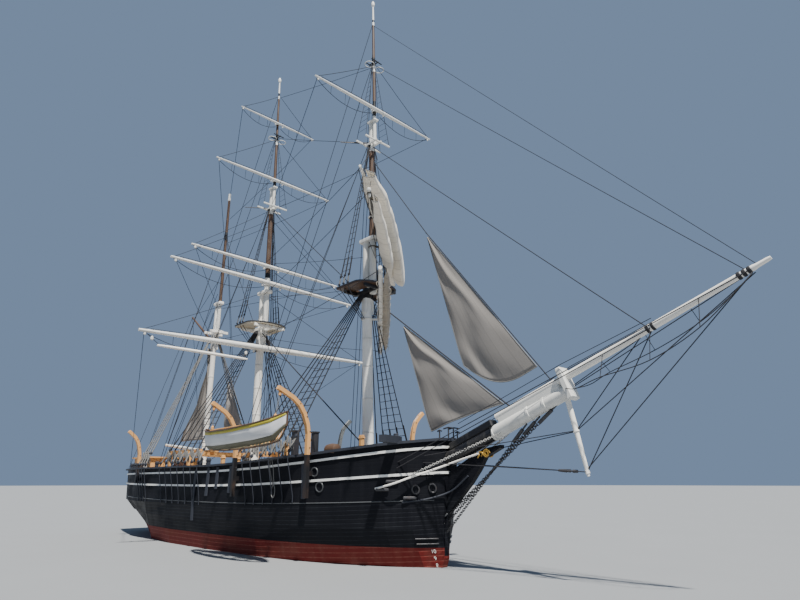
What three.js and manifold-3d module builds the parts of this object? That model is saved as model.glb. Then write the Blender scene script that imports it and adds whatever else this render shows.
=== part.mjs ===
// A three-masted whaling bark, at anchor with her sails loose, as a 1:2 scale model.
// The ship's frame: +X forward, +Y port, +Z up, origin amidships on the waterline.
// Every size below is in metres of the full-size ship, and the last lines turn the
// whole group into millimetres of the 1:2 model.
import * as THREE from 'three';
import { mergeVertices } from 'three/addons/utils/BufferGeometryUtils.js';
import Module from 'manifold-3d';

const wasm = await Module();
wasm.setup();

// Scale
const MODEL_SCALE = 0.5;
const MM_PER_METRE = 1000;
const mm = (length) => length / (MM_PER_METRE * MODEL_SCALE); // millimetres of the model

// Driving dimensions of the hull
const BOOT_TOP_Z = 0.85; // top of the red bottom paint
const DECK_Z = 3.42; // deck at side amidships
const DECK_SHEER_BOW = 0.62; // rise of the deck at the stem
const DECK_SHEER_STERN = 0.1;
const BULWARK_HEIGHT = 1.12; // deck to main rail amidships
const FORECASTLE_RISE = 0.35; // extra height of the rail at the bow
const DECK_THICKNESS = 0.1;
const BULWARK_THICKNESS = 0.2;
const RAIL_WIDTH = 0.42;
const RAIL_REACH = 0.14; // how far the rail stands out from the hull
const RAIL_THICKNESS = 0.12;
const MOULDING_HEIGHT = 0.11;
const MOULDING_DEPTH = 0.05;
const KEEL_WIDTH = 0.36;
const CAMBER = 0.12; // the deck's rise from its side to the middle line
const GAP = mm(0.3); // between pieces that touch
const LAP_GAP = mm(3); // between lofted skins that lie along each other
const STEM_X = 16.1; // the stem's front face at its head
const STEM_CUT = 0.32; // how far the stem lies aft of that at the waterline
const STEM_CUT_TOP_Z = 3.2; // where the stem begins to go back
const STEM_CUT_RISE = 1.5;
const STEM_RUN_X = 15; // the stations ahead of it go back with the stem

// Driving dimensions of the rig
const HEEL_Z = 3.6; // where a mast comes through the deck
const TOPGALLANT_STEP = 0.3; // topgallant mast ahead of the topmast

// Head spars
const BOWSPRIT_SLOPE = 0.385;
const BOWSPRIT_CAP_X = 22.5;
const JIBBOOM_LIFT = 0.63; // jibboom's middle line above the bowsprit's
const JIBBOOM_TIP_X = 30.45;

// Masts: x at the heel, rake aft in radians, heights of the top, the cap, the crosstrees and the
// heads, and thicknesses.
const MASTS = {
  fore: {
    name: 'fore', x: 10.4, rake: 0.034, footZ: 3.5, topZ: 14.3, capZ: 17.45, crossZ: 23.95,
    topmastHeadZ: 25.5, hoopsZ: 29.9, topgallantHeadZ: 34.9,
    lower: 0.62, topmast: 0.4, step: 0.52, bearer: 2.1,
  },
  main: {
    name: 'main', x: -1.0, rake: 0.026, footZ: 3.4, topZ: 14.1, capZ: 16.7, crossZ: 23.35,
    topmastHeadZ: 24.95, hoopsZ: 29.4, topgallantHeadZ: 34.8,
    lower: 0.58, topmast: 0.4, step: 0.5, bearer: 2.1,
  },
  mizzen: {
    name: 'mizzen', x: -8.05, rake: 0, footZ: 3.4, topZ: 15.0, capZ: 17.3, houndsZ: 23.0, topmastHeadZ: 26.9,
    lower: 0.44, topmast: 0.27, step: 0.38, bearer: 1.3,
  },
};

// Columns: yard, mast, the mast part that carries it, height, half length, thickness, the gap that its
// truss spans, and the degrees that it is braced from square, its starboard arm forward.
const YARDS = [
  ['fore_course_yard', 'fore', 'lower', 12.6, 8.2, 0.4, 0.3, 47],
  ['fore_lower_topsail_yard', 'fore', 'topmast', 16.95, 7, 0.32, 0.2, 42],
  ['fore_upper_topsail_yard', 'fore', 'topmast', 18.85, 6, 0.28, 0.1, 38],
  ['fore_topgallant_yard', 'fore', 'topgallant', 26.14, 4.85, 0.22, 0.06, 0],
  ['main_course_yard', 'main', 'lower', 12.5, 8.5, 0.4, 0.3, -4],
  ['main_lower_topsail_yard', 'main', 'topmast', 17.2, 7.55, 0.32, 0.2, 2],
  ['main_upper_topsail_yard', 'main', 'topmast', 18.5, 6.2, 0.26, 0.1, 2],
  ['main_topgallant_yard', 'main', 'topgallant', 25.45, 4.95, 0.22, 0.06, 0],
  ['main_royal_yard', 'main', 'topgallant', 30.45, 3.3, 0.16, 0.05, 0],
];

// Square sails that hang in their gear under a yard, with rows of: place along the yard, how far the
// sail hangs down, how far it bellies forward.
const HUNG_SAILS = [
  ['fore_upper_topsail', 'fore_upper_topsail_yard', [[-5.4, 0.4, 0.6], [-3.4, 0.95, 1.05], [-0.8, 1.3, 1.12],
    [1.6, 1.5, 1.05], [3.4, 2.4, 1.05], [4.6, 2.75, 1.05], [5.5, 1.8, 0.85]]],
  ['fore_lower_topsail', 'fore_lower_topsail_yard', [[-6.2, 0.3, 0.3], [-3.4, 0.8, 0.55], [-0.6, 1.1, 0.65],
    [1.1, 1.15, 0.6], [1.7, 0.5, 0.32], [6.2, 0.35, 0.28]]],
];

// Columns: spar, height of its jaws, length, rise of its far end, thickness.
const SPANKER_SPARS = [
  ['spanker_boom', 5.9, 6.75, 0.69, 0.24],
  ['spanker_gaff', 14.2, 4.25, 2.82, 0.18],
];

// Channels, the boards at the rail that spread the shrouds: aft end, forward end.
const CHANNELS = [[5.2, 9.42], [-5.6, 0.5], [-9.6, -7.6]];
const CHANNEL_REACH = 0.5;
const SAIL_THICKNESS = 0.06;
const HUNG_SAIL_THICKNESS = 0.18;
const CATHEAD = { x: 14.75, y: 2.55, size: [0.34, 1.7, 0.32], turn: -0.35 };

const paint = (color, roughness = 0.5, metalness = 0) =>
  new THREE.MeshStandardMaterial({ color, roughness, metalness });
const FINISH = {
  black: paint(0x14161c, 0.45),
  red: paint(0x5a1a1c, 0.6),
  white: paint(0xe4e2dc, 0.5),
  deck: paint(0x9a8a70, 0.8),
  darkSpar: paint(0x4a3a30, 0.6),
  tan: paint(0xc08a4c, 0.6),
  canvas: paint(0x8c8c90, 0.9),
  lightCanvas: paint(0xe8e4da, 0.9),
  wire: paint(0x1a1a1c, 0.6),
  iron: paint(0x24242a, 0.5, 0.6),
  brick: paint(0x6a3c30, 0.9),
};

const UP = new THREE.Vector3(0, 1, 0);
const v = (x, y, z) => new THREE.Vector3(x, y, z);
const lerp = (a, b, t) => a + (b - a) * t;

// Solids

/** Six times the volume that a list of triangles bounds, negative where its faces point inwards. */
function signedVolume(positions, triangles) {
  const [a, b, c] = [v(0, 0, 0), v(0, 0, 0), v(0, 0, 0)];
  let total = 0;
  for (let i = 0; i < triangles.length; i += 3) {
    a.fromArray(positions, triangles[i] * 3);
    b.fromArray(positions, triangles[i + 1] * 3);
    c.fromArray(positions, triangles[i + 2] * 3);
    total += a.dot(b.cross(c));
  }
  return total;
}

/** The solid that a closed geometry bounds. */
function solid(geometry) {
  const bare = geometry.index ? geometry.toNonIndexed() : geometry.clone();
  for (const name of Object.keys(bare.attributes)) {
    if (name !== 'position') bare.deleteAttribute(name);
  }
  const merged = mergeVertices(bare, 1e-5);
  const positions = merged.attributes.position.array;
  const triangles = [];
  const index = merged.index.array;
  for (let i = 0; i < index.length; i += 3) {
    const [a, b, c] = [index[i], index[i + 1], index[i + 2]];
    if (a !== b && b !== c && a !== c) triangles.push(a, b, c);
  }
  if (signedVolume(positions, triangles) < 0) triangles.reverse();
  return new wasm.Manifold(new wasm.Mesh({
    numProp: 3,
    vertProperties: Float32Array.from(positions),
    triVerts: Uint32Array.from(triangles),
  }));
}

const join = (first, ...others) => others.reduce((sum, other) => sum.add(other), first);
const cut = (first, ...others) => others.reduce((rest, other) => rest.subtract(other), first);

/** A named mesh of a solid. */
function piece(name, body, material) {
  const mesh = body.getMesh();
  const geometry = new THREE.BufferGeometry();
  const points = new Float32Array(mesh.numVert * 3);
  for (let i = 0; i < mesh.numVert; i += 1) {
    for (let axis = 0; axis < 3; axis += 1) {
      points[i * 3 + axis] = mesh.vertProperties[i * mesh.numProp + axis];
    }
  }
  geometry.setAttribute('position', new THREE.BufferAttribute(points, 3));
  geometry.setIndex(new THREE.BufferAttribute(Uint32Array.from(mesh.triVerts), 1));
  const flat = geometry.toNonIndexed();
  flat.computeVertexNormals();
  const result = new THREE.Mesh(flat, material);
  result.name = name;
  return result;
}

/** A box given by its middle and its sizes, turned by euler angles about its middle. */
function block(middle, size, turn = [0, 0, 0]) {
  const geometry = new THREE.BoxGeometry(...size);
  geometry.applyMatrix4(new THREE.Matrix4().makeRotationFromEuler(new THREE.Euler(...turn)));
  geometry.translate(...middle);
  return solid(geometry);
}

/** A round spar from one point to another, its diameters given as [part of the length, diameter]. */
function spar(from, to, diameters, sides = 12) {
  const start = v(...from);
  const end = v(...to);
  const length = start.distanceTo(end);
  const profile = [new THREE.Vector2(0, 0)];
  for (const [part, diameter] of diameters) {
    profile.push(new THREE.Vector2(diameter / 2, part * length));
  }
  profile.push(new THREE.Vector2(0, length));
  const geometry = new THREE.LatheGeometry(profile, sides);
  const direction = end.clone().sub(start).normalize();
  geometry.applyQuaternion(new THREE.Quaternion().setFromUnitVectors(UP, direction));
  geometry.translate(...start.toArray());
  return solid(geometry);
}

const rod = (from, to, diameter, sides = 8) => spar(from, to, [[0, diameter], [1, diameter]], sides);

/** A ring about the local Z axis. */
function collar(middle, inner, outer, height) {
  const profile = [[inner, -height / 2], [outer, -height / 2], [outer, height / 2], [inner, height / 2],
    [inner, -height / 2]].map(([r, z]) => new THREE.Vector2(r, z));
  const geometry = new THREE.LatheGeometry(profile, 16);
  geometry.rotateX(Math.PI / 2);
  geometry.translate(...middle);
  return solid(geometry);
}

/** A flat outline of [x, z] points, made thick about the middle plane. */
function plate(outline, thickness) {
  const shape = new THREE.Shape(outline.map(([a, b]) => new THREE.Vector2(a, b)));
  const options = { depth: thickness, bevelEnabled: false, curveSegments: 6 };
  const geometry = new THREE.ExtrudeGeometry(shape, options);
  geometry.translate(0, 0, -thickness / 2);
  geometry.rotateX(Math.PI / 2);
  return solid(geometry);
}

const fanCap = (count) => Array.from({ length: count - 2 }, (_, j) => [0, j + 1, j + 2]);
/** The triangles that close a ring whose second half mirrors its first. */
const pairedCap = (count) => Array.from({ length: count / 2 - 1 }, (_, j) => [
  [j, j + 1, count - 2 - j], [j, count - 2 - j, count - 1 - j]]).flat();

/** The skin of rows of points; a closed row joins its last point to its first. */
function skin(rows, closedRow, closedLoop, paired = false) {
  const positions = [];
  const quad = (a, b, c, d) => positions.push(...a, ...b, ...c, ...a, ...c, ...d);
  const rowCount = closedLoop ? rows.length : rows.length - 1;
  for (let i = 0; i < rowCount; i += 1) {
    const here = rows[i];
    const next = rows[(i + 1) % rows.length];
    const steps = closedRow ? here.length : here.length - 1;
    for (let j = 0; j < steps; j += 1) {
      const k = (j + 1) % here.length;
      quad(here[j], next[j], next[k], here[k]);
    }
  }
  if (!closedLoop) {
    for (const [row, flip] of [[rows[0], false], [rows[rows.length - 1], true]]) {
      for (const [a, b, c] of paired ? pairedCap(row.length) : fanCap(row.length)) {
        positions.push(...row[a], ...row[flip ? c : b], ...row[flip ? b : c]);
      }
    }
  }
  const geometry = new THREE.BufferGeometry();
  geometry.setAttribute('position', new THREE.BufferAttribute(new Float32Array(positions), 3));
  return geometry;
}

// Hull form

// Columns: station x, keel underside z, half-breadth on the waterline, fullness below it
// (small is full), half-breadth at the wale, half-breadth at the rail.
const STATIONS = [
  [-16.1, 2.35, 0, 1, 2.2, 2.3],
  [-15.5, 1.6, 0, 1, 2.35, 2.5],
  [-14.9, 0.95, 0, 1, 2.5, 2.7],
  [-14.5, -3.5, 0.3, 1.6, 2.75, 2.85],
  [-13, -3.5, 1.05, 1.5, 3.2, 3.25],
  [-11, -3.5, 1.95, 1.15, 3.65, 3.62],
  [-8, -3.48, 3.25, 0.8, 4.05, 3.95],
  [-4, -3.45, 3.82, 0.5, 4.2, 4.1],
  [1, -3.4, 3.9, 0.42, 4.23, 4.15],
  [6, -3.35, 3.72, 0.5, 4.12, 4.1],
  [9.5, -3.3, 3.12, 0.75, 3.78, 3.85],
  [12, -3.25, 2.3, 1, 3.18, 3.32],
  [14, -3.2, 1.3, 1.3, 2.25, 2.55],
  [15, -2.6, 0.65, 1.5, 1.5, 1.85],
  [15.6, -0.6, 0.2, 1.5, 0.85, 1.2],
  [16.1, 0.4, 0.12, 1.5, 0.3, 0.5],
];
const WALE_Z = 2.4;
const RUN_START_X = -4; // abaft it the sides flare more and more straight, up to the wale
const RUN_LENGTH = 6;
const LEVELS_BELOW = [0, 0.06, 0.16, 0.3, 0.5, 0.75, 1]; // parts of the depth below the boot-top

const sheer = (x, bow, stern) => (x > 0 ? bow * (x / 16) ** 2 : stern * (x / 16) ** 2);
const deckZ = (x) => DECK_Z + sheer(x, DECK_SHEER_BOW, DECK_SHEER_STERN);
const railZ = (x) => deckZ(x) + BULWARK_HEIGHT + sheer(x, FORECASTLE_RISE, -0.1);

/** Half-breadth of the hull at a station row and a height. */
function halfBreadth([x, keel, waterline, fullness, wale, rail], z) {
  const bottom = Math.max(keel, -4);
  if (z >= WALE_Z) return lerp(wale, rail, (z - WALE_Z) / (railZ(x) - WALE_Z));
  const lift = Math.max(bottom, 0);
  if (z > 0 || bottom >= 0) {
    const t = THREE.MathUtils.clamp((z - lift) / (WALE_Z - lift), 0, 1);
    const round = Math.sin((t * Math.PI) / 2);
    if (bottom > 0) return lerp(waterline, wale, round ** 0.7);
    const straight = THREE.MathUtils.clamp((RUN_START_X - x) / RUN_LENGTH, 0, 1);
    return lerp(waterline, wale, lerp(round, t, straight));
  }
  const t = (z - bottom) / -bottom;
  return Math.max(waterline * Math.sin((t * Math.PI) / 2) ** fullness, 0);
}

/** How far the stem lies aft of its head at a height; the stations near it follow. */
function stemShift(x, z) {
  const near = THREE.MathUtils.clamp((x - STEM_RUN_X) / (STEM_X - STEM_RUN_X), 0, 1);
  return -STEM_CUT * near * THREE.MathUtils.clamp((STEM_CUT_TOP_Z - z) / STEM_CUT_RISE, 0, 1);
}

/** One ring of hull points at a station between two heights, keel to side, starboard then port. */
function frame(station, bottomZ, heights) {
  const [x] = station;
  const half = heights.map((z) => [Math.max(halfBreadth(station, z), KEEL_WIDTH / 2), z]);
  half[0] = [Math.max(half[0][0], KEEL_WIDTH / 2), bottomZ];
  const at = (z) => x + stemShift(x, z);
  return [...half.map(([y, z]) => [at(z), -y, z]), ...half.reverse().map(([y, z]) => [at(z), y, z])];
}

function hullBottom() {
  const rows = STATIONS.filter(([, keel]) => keel < BOOT_TOP_Z - 0.2).map((station) => {
    const [, keel] = station;
    const heights = LEVELS_BELOW.map((part) => lerp(keel, BOOT_TOP_Z, part));
    return frame(station, keel, heights);
  });
  return solid(skin(rows, true, false, true));
}

function hullTopsides() {
  const rows = STATIONS.map((station) => {
    const [x, keel] = station;
    const low = Math.max(BOOT_TOP_Z + GAP, keel);
    const high = deckZ(x) - DECK_THICKNESS - GAP;
    const middle = Math.max(WALE_Z, low + 0.1);
    const heights = [low, lerp(low, middle, 0.5), middle, Math.max(high, middle + 0.1)];
    return frame(station, low, heights);
  });
  return solid(skin(rows, true, false, true));
}

/** Stations from the bow down the starboard side, round the transom and up the port side. */
function sideRun(section) {
  const aftToBow = [...STATIONS];
  const starboard = [...aftToBow].reverse().map((station) => section(station, -1));
  const port = aftToBow.map((station) => section(station, 1));
  return [...starboard, ...port];
}

/** A strip that follows the hull's side, between two offsets from it and two heights. */
function sideStrip(inner, outer, lowZ, highZ) {
  return solid(skin(sideRun((station, side) => {
    const [x] = station;
    const end = x > 16 ? 1 : 0;
    const tail = x < -16 ? 1 : 0;
    const at = (offset, height) => {
      const along = x + (end - tail) * offset;
      const z = height(along);
      const y = Math.max(halfBreadth(station, z) + offset, 0.05);
      return [along, side * y, z];
    };
    return [at(outer, lowZ), at(outer, highZ), at(inner, highZ), at(inner, lowZ)];
  }), true, true));
}

/** The deck's plank, or with a greater depth and a lift the room of the deck and what is under it. */
function mainDeck(depth, lift = 0) {
  const endX = STEM_X - BULWARK_THICKNESS - LAP_GAP;
  const rows = STATIONS.map((station) => {
    const [x] = station;
    const z = deckZ(x) + lift;
    const low = z - depth;
    const inside = (height) => Math.max(halfBreadth(station, height) - BULWARK_THICKNESS - LAP_GAP, 0.05);
    const y = inside(z);
    const lowY = Math.min(inside(z - DECK_THICKNESS), y);
    const inset = THREE.MathUtils.clamp(x, -endX, endX);
    const crown = z + CAMBER * (y / 4);
    return [[inset, -lowY, low], [inset, lowY, low], [inset, y, z], [inset, 0, crown], [inset, -y, z]];
  });
  const rowsAftFirst = rows.map((row) => [...row].reverse());
  return solid(skin(rowsAftFirst, true, false));
}

const ship = new THREE.Group();
const add = (parent, ...pieces) => parent.add(...pieces);

// Hull, deck and bulwarks

const bowspritZ = (x) => 7.2 + BOWSPRIT_SLOPE * (x - BOWSPRIT_CAP_X);
const jibboomZ = (x) => bowspritZ(x) + JIBBOOM_LIFT;
const bowspritRun = [[14.35, 0, bowspritZ(14.35)], [22.75, 0, bowspritZ(22.75)]];
const bowspritTaper = (extra) => [[0, 0.7 + extra], [0.3, 0.68 + extra], [1, 0.54 + extra]];
const bowspritBody = spar(...bowspritRun, bowspritTaper(0));
const bowspritRoom = spar(...bowspritRun, bowspritTaper(2 * LAP_GAP));

const deckBody = mainDeck(DECK_THICKNESS);
add(ship, piece('hull_bottom', hullBottom(), FINISH.red));
add(ship, piece('hull_topsides', hullTopsides(), FINISH.black));
add(ship, piece('main_deck', deckBody, FINISH.deck));
const deckRoom = mainDeck(1.5, GAP);
const onDeck = (body) => cut(body, deckRoom);

const wall = (outer) => sideStrip(-BULWARK_THICKNESS, outer, (x) => deckZ(x) - DECK_THICKNESS, railZ);
const wallRoom = wall(2 * GAP);
add(ship, piece('bulwark', cut(wall(0), bowspritRoom), FINISH.black));

const railLow = (x) => railZ(x) + GAP;
const channelStrip = sideStrip(-0.1, CHANNEL_REACH, railLow, (x) => railZ(x) + RAIL_THICKNESS * 0.8);
const railBody = join(
  sideStrip(RAIL_REACH - RAIL_WIDTH, RAIL_REACH, railLow, (x) => railZ(x) + RAIL_THICKNESS),
  ...CHANNELS.map(([aft, forward]) => channelStrip.intersect(
    block([(aft + forward) / 2, 0, 5], [forward - aft, 20, 4]))),
  ...[-1, 1].map((side) => block([CATHEAD.x, side * CATHEAD.y, railZ(CATHEAD.x) + 0.2], CATHEAD.size,
    [0, 0, side * CATHEAD.turn])),
);
add(ship, piece('main_rail', cut(railBody, bowspritRoom), FINISH.black));

const moulding = (height) => {
  const strip = sideStrip(-MOULDING_DEPTH, MOULDING_DEPTH, height, (x) => height(x) + MOULDING_HEIGHT);
  return cut(strip, wallRoom, bowspritRoom);
};
add(ship, piece('upper_moulding', moulding((x) => railZ(x) - 0.34), FINISH.white));
add(ship, piece('lower_moulding', moulding((x) => deckZ(x)), FINISH.white));

const kneeX = STEM_X + GAP;
const topsideHeadZ = deckZ(STEM_X) - DECK_THICKNESS - GAP;
const onStem = (z) => [kneeX + stemShift(STEM_X, z), z];
const kneeOutline = [onStem(0.5), [15.84, 1.55], [16.06, 2.33], [16.78, 3.04], [17.4, 3.64], [17.88, 4.2],
  [18.24, 4.72], [19.1, 5.1], [19.12, 5.24], [18.3, 5.12], [17.5, 4.8], [16.8, 4.45], [kneeX, 4.1],
  onStem(topsideHeadZ), onStem(WALE_Z), onStem((BOOT_TOP_Z + WALE_Z) / 2)];
const KNEE_CLEAR = LAP_GAP + MOULDING_DEPTH + LAP_GAP;
add(ship, piece('head_knee', cut(
  plate(kneeOutline, 0.3),
  block([STEM_X, 0, deckZ(STEM_X) + MOULDING_HEIGHT / 2], [2 * KNEE_CLEAR, 2, MOULDING_HEIGHT + 0.04]),
), FINISH.black));

// Bowsprit, jibboom and dolphin striker

const slopeTurn = [0, -Math.atan(BOWSPRIT_SLOPE), 0];
const jibboomRun = [[18.9, 0, jibboomZ(18.9)], [JIBBOOM_TIP_X, 0, jibboomZ(JIBBOOM_TIP_X)]];
const JIBBOOM_SIZE = 0.34;
const jibboomTaper = [[0, JIBBOOM_SIZE], [0.5, 0.32], [0.92, 0.22], [0.921, 0.28], [0.935, 0.28],
  [0.936, 0.16], [1, 0.12]];
const jibboomRoom = rod(...jibboomRun, JIBBOOM_SIZE + 2 * GAP, 12);
add(ship, piece('bowsprit', cut(join(
  onDeck(bowspritBody),
  block([BOWSPRIT_CAP_X, 0, 7.54], [0.28, 0.66, 1.4], slopeTurn),
  block([20.6, 0, bowspritZ(20.6) + 0.42], [3.38, 0.3, 0.5], slopeTurn),
  block([17.5, 0, bowspritZ(17.5) + 0.45], [2.7, 0.5, 0.35], slopeTurn),
), jibboomRoom), FINISH.white));
add(ship, piece('jibboom', spar(...jibboomRun, jibboomTaper), FINISH.white));
const strikerTaper = [[0, 0.2], [0.45, 0.2], [0.451, 0.26], [0.47, 0.26], [0.471, 0.18], [1, 0.12]];
add(ship, piece('dolphin_striker', cut(
  spar([22.42, 0, 7.1], [23.1, 0, 3.9], strikerTaper),
  spar(...bowspritRun, bowspritTaper(2 * GAP)),
  block([BOWSPRIT_CAP_X, 0, 7.54], [0.28 + 2 * GAP, 0.66, 1.4 + 2 * GAP], slopeTurn),
), FINISH.white));

// Masts

const mastPoint = (mast, step, z) => [mast.x + step - mast.rake * (z - HEEL_Z), 0, z];
const mastTurn = (mast) => [0, -mast.rake, 0];

/** Fore-and-aft bearers and cross bearers that stand out from a mast head. */
function bearers(mast, step, z, { long, wide, apart, deep }) {
  const [x] = mastPoint(mast, step, z);
  return join(
    ...[-1, 1].map((side) => block(
      [x, side * apart, z - deep / 2], [long, deep * 0.8, deep], mastTurn(mast))),
    ...[deep - long / 2, long / 2 - deep].map((ahead) => block(
      [x + ahead, 0, z - deep / 2 + mast.rake * ahead], [deep * 0.8, wide, deep * 0.96], mastTurn(mast))),
  );
}

/** A part of a mast, stepped ahead of the lower mast: its form and its radius at a height. */
function mastPart(mast, step, lowZ, highZ, diameters) {
  const [foot, head] = [lowZ, highZ].map((z) => mastPoint(mast, step, z));
  const radius = (z) => {
    const part = (z - lowZ) / (highZ - lowZ);
    const next = diameters.findIndex(([there]) => there >= part);
    const [[before, thick], [after, thin]] = diameters.slice(next - 1, next + 1);
    return lerp(thick, thin, (part - before) / (after - before)) / 2;
  };
  const form = (extra) => spar(foot, head, diameters.map(([part, size]) => [part, size + extra]));
  return { step, form, radius };
}

/** The square pin that carries a mast part on the bearers under it. */
const fid = (mast, z, step, ahead, half, size) => block(
  [mastPoint(mast, step, z)[0], 0, z + mast.rake * ahead + GAP + size / 2], [size, 2 * half, size],
  mastTurn(mast));

/** The platform round a lower mast's head, its after edge straight and its forward edge round. */
function topPlatform(mast) {
  const [long, wide] = [mast.bearer * 1.12, mast.bearer * 1.45];
  const outline = new THREE.Shape();
  outline.moveTo(-long / 2, -wide / 2);
  outline.lineTo(long * 0.15, -wide / 2);
  outline.absellipse(long * 0.15, 0, long * 0.35, wide / 2, -Math.PI / 2, Math.PI / 2, false);
  outline.lineTo(-long / 2, wide / 2);
  outline.closePath();
  const platform = new THREE.ExtrudeGeometry(outline,
    { depth: 0.09, bevelEnabled: false, curveSegments: 7 });
  const [x] = mastPoint(mast, mast.step / 2, mast.topZ);
  platform.rotateY(-mast.rake);
  platform.translate(x, 0, mast.topZ + GAP * 1.5);
  const mastHole = block([x, 0, mast.topZ], [mast.bearer * 0.62, mast.lower + 0.38, 0.6], mastTurn(mast));
  return cut(solid(platform), mastHole);
}

const rig = {}; // the parts of each mast
for (const mast of Object.values(MASTS)) {
  const lowerTaper = [[0, 1], [0.72, 0.88], [0.73, 0.95], [0.78, 0.78], [1, 0.7]]
    .map(([part, size]) => [part, size * mast.lower]);
  const lowerPart = mastPart(mast, 0, mast.footZ, mast.capZ + 0.1, lowerTaper);
  const topPart = mastPart(mast, mast.step, mast.topZ - 0.25, mast.topmastHeadZ,
    [[0, mast.topmast], [0.8, mast.topmast * 0.82], [1, mast.topmast * 0.7]]);
  rig[mast.name] = { lower: lowerPart, topmast: topPart };
  const capX = mastPoint(mast, mast.step / 2, mast.capZ)[0];
  const capSize = [mast.step + mast.lower * 0.9 + 0.2, mast.lower * 0.95, 0.24];
  const lowerBearers = { long: mast.bearer, wide: mast.bearer * 1.15, apart: mast.lower * 0.44, deep: 0.2 };
  add(ship, piece(`${mast.name}_lower_mast`, cut(join(
    onDeck(lowerPart.form(0)),
    bearers(mast, mast.step / 2, mast.topZ, lowerBearers),
    block([capX, 0, mast.capZ], capSize, mastTurn(mast)),
  ), topPart.form(2 * GAP)), FINISH.white));
  const topmastBody = join(topPart.form(0),
    fid(mast, mast.topZ, mast.step, mast.step / 2, mast.lower * 0.5 + 0.14, 0.1));
  if (mast.name === 'mizzen') {
    const hounds = mastPoint(mast, mast.step, mast.houndsZ);
    const houndsRing = collar(hounds, mast.topmast * 0.3, mast.topmast * 0.7, 0.3);
    add(ship, piece('mizzen_topmast', join(topmastBody, houndsRing), FINISH.darkSpar));
    continue;
  }
  const galStep = mast.step + TOPGALLANT_STEP;
  const middleStep = mast.step + TOPGALLANT_STEP / 2;
  const galPart = mastPart(mast, galStep, mast.crossZ - 0.2, mast.topgallantHeadZ,
    [[0, 0.23], [0.55, 0.19], [0.82, 0.15], [0.97, 0.09], [0.98, 0.2], [1, 0.14]]);
  rig[mast.name].topgallant = galPart;
  const [crossX] = mastPoint(mast, middleStep, mast.topmastHeadZ);
  add(ship, piece(`${mast.name}_topmast`, cut(join(
    topmastBody,
    bearers(mast, middleStep, mast.crossZ, { long: 1.1, wide: 2.0, apart: 0.19, deep: 0.12 }),
    block([crossX, 0, mast.topmastHeadZ], [0.72, 0.36, 0.16], mastTurn(mast)),
  ), galPart.form(2 * GAP)), FINISH.darkSpar));
  add(ship, piece(`${mast.name}_topgallant_mast`, join(
    galPart.form(0),
    fid(mast, mast.crossZ, galStep, TOPGALLANT_STEP / 2, 0.26, 0.07),
    bearers(mast, galStep, mast.hoopsZ, { long: 0.7, wide: 0.9, apart: 0.1, deep: 0.08 }),
  ), FINISH.darkSpar));
  add(ship, piece(`${mast.name}_top`, topPlatform(mast), FINISH.black));
}

// Yards

const RADIANS = Math.PI / 180;
const COLLAR_HEIGHT = 0.14;
const COLLAR_GAP = mm(0.6); // a collar turns round its mast
const collarInner = (radius) => (radius + COLLAR_GAP) / Math.cos(Math.PI / 16);

// Part of a yard's length, part of its thickness.
const YARD_TAPER = [[0, 0.45], [0.12, 0.6], [0.35, 0.92], [0.5, 1], [0.65, 0.92], [0.88, 0.6], [1, 0.45]];

/** A sail that hangs under a yard, as a loft of sections along it, with room left for the yard. */
function hungSail(rows, reach, yardRoom) {
  const sections = rows.map(([y, hang, belly]) => [
    [0.5 * belly, -0.45 * hang], [0, 0.05], [0.25 + 0.3 * belly, 0.02], [belly, -0.45 * hang],
    [0.95 * belly, -hang], [0.95 * belly - HUNG_SAIL_THICKNESS, -hang],
  ].map(([ahead, up]) => [reach + ahead, y, up]));
  return cut(solid(skin(sections, true, false)), yardRoom);
}

for (const [name, mastName, on, z, half, thick, truss, brace] of YARDS) {
  const { step, radius } = rig[mastName][on];
  const reach = radius(z) + truss + thick / 2;
  const ends = (extra) => YARD_TAPER.map(([part, size]) => [part, thick * size + extra]);
  const run = [[reach, -half, 0], [reach, half, 0]];
  const inner = collarInner(radius(z - COLLAR_HEIGHT / 2));
  const linkStart = inner + 0.02;
  const body = join(
    spar(...run, ends(0)),
    collar([0, 0, 0], inner, inner + 0.06, COLLAR_HEIGHT),
    block([(linkStart + reach) / 2, 0, 0], [reach - linkStart, 0.16, 0.12]),
  );
  const leaning = new THREE.Group();
  leaning.position.set(...mastPoint(MASTS[mastName], step, z));
  leaning.rotation.y = -MASTS[mastName].rake;
  const braced = new THREE.Group();
  braced.rotation.z = brace * RADIANS;
  braced.add(piece(name, body, FINISH.white));
  for (const [sail, , rows] of HUNG_SAILS.filter(([, carrier]) => carrier === name)) {
    braced.add(piece(sail, hungSail(rows, reach, spar(...run, ends(2 * GAP))), FINISH.lightCanvas));
  }
  leaning.add(braced);
  ship.add(leaning);
}

// Spanker boom, gaff and sail

const mizzen = MASTS.mizzen;
for (const [name, z, length, rise, thick] of SPANKER_SPARS) {
  const inner = collarInner(rig.mizzen.lower.radius(z - COLLAR_HEIGHT / 2));
  const run = [[-inner - 0.045, 0, 0], [-length, 0, rise]];
  const taper = (extra) => [[0, thick * 0.8 + extra], [0.4, thick + extra], [1, thick * 0.6 + extra]];
  const holder = new THREE.Group();
  holder.position.set(...mastPoint(mizzen, 0, z));
  holder.rotation.y = -mizzen.rake;
  const ring = collar([0, 0, 0], inner, inner + 0.08, COLLAR_HEIGHT);
  holder.add(piece(name, join(spar(...run, taper(0)), ring), FINISH.white));
  if (name === 'spanker_boom') {
    const onBoom = (part) => [lerp(run[0][0], run[1][0], part), lerp(0, rise, part)];
    const outline = [onBoom(0.07), [-0.44, 8.1], [-0.85, 8.1], [-1.65, 5.4], [-3.65, 2.35], onBoom(0.82),
      [-4.6, 1.0], [-2.6, 0.78], [-0.8, 0.6]];
    const sail = plate(outline, SAIL_THICKNESS);
    const boomRoom = spar(...run, taper(2 * GAP));
    holder.add(piece('spanker_sail', cut(sail, boomRoom), FINISH.canvas));
  }
  ship.add(holder);
}

// Main stays

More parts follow.
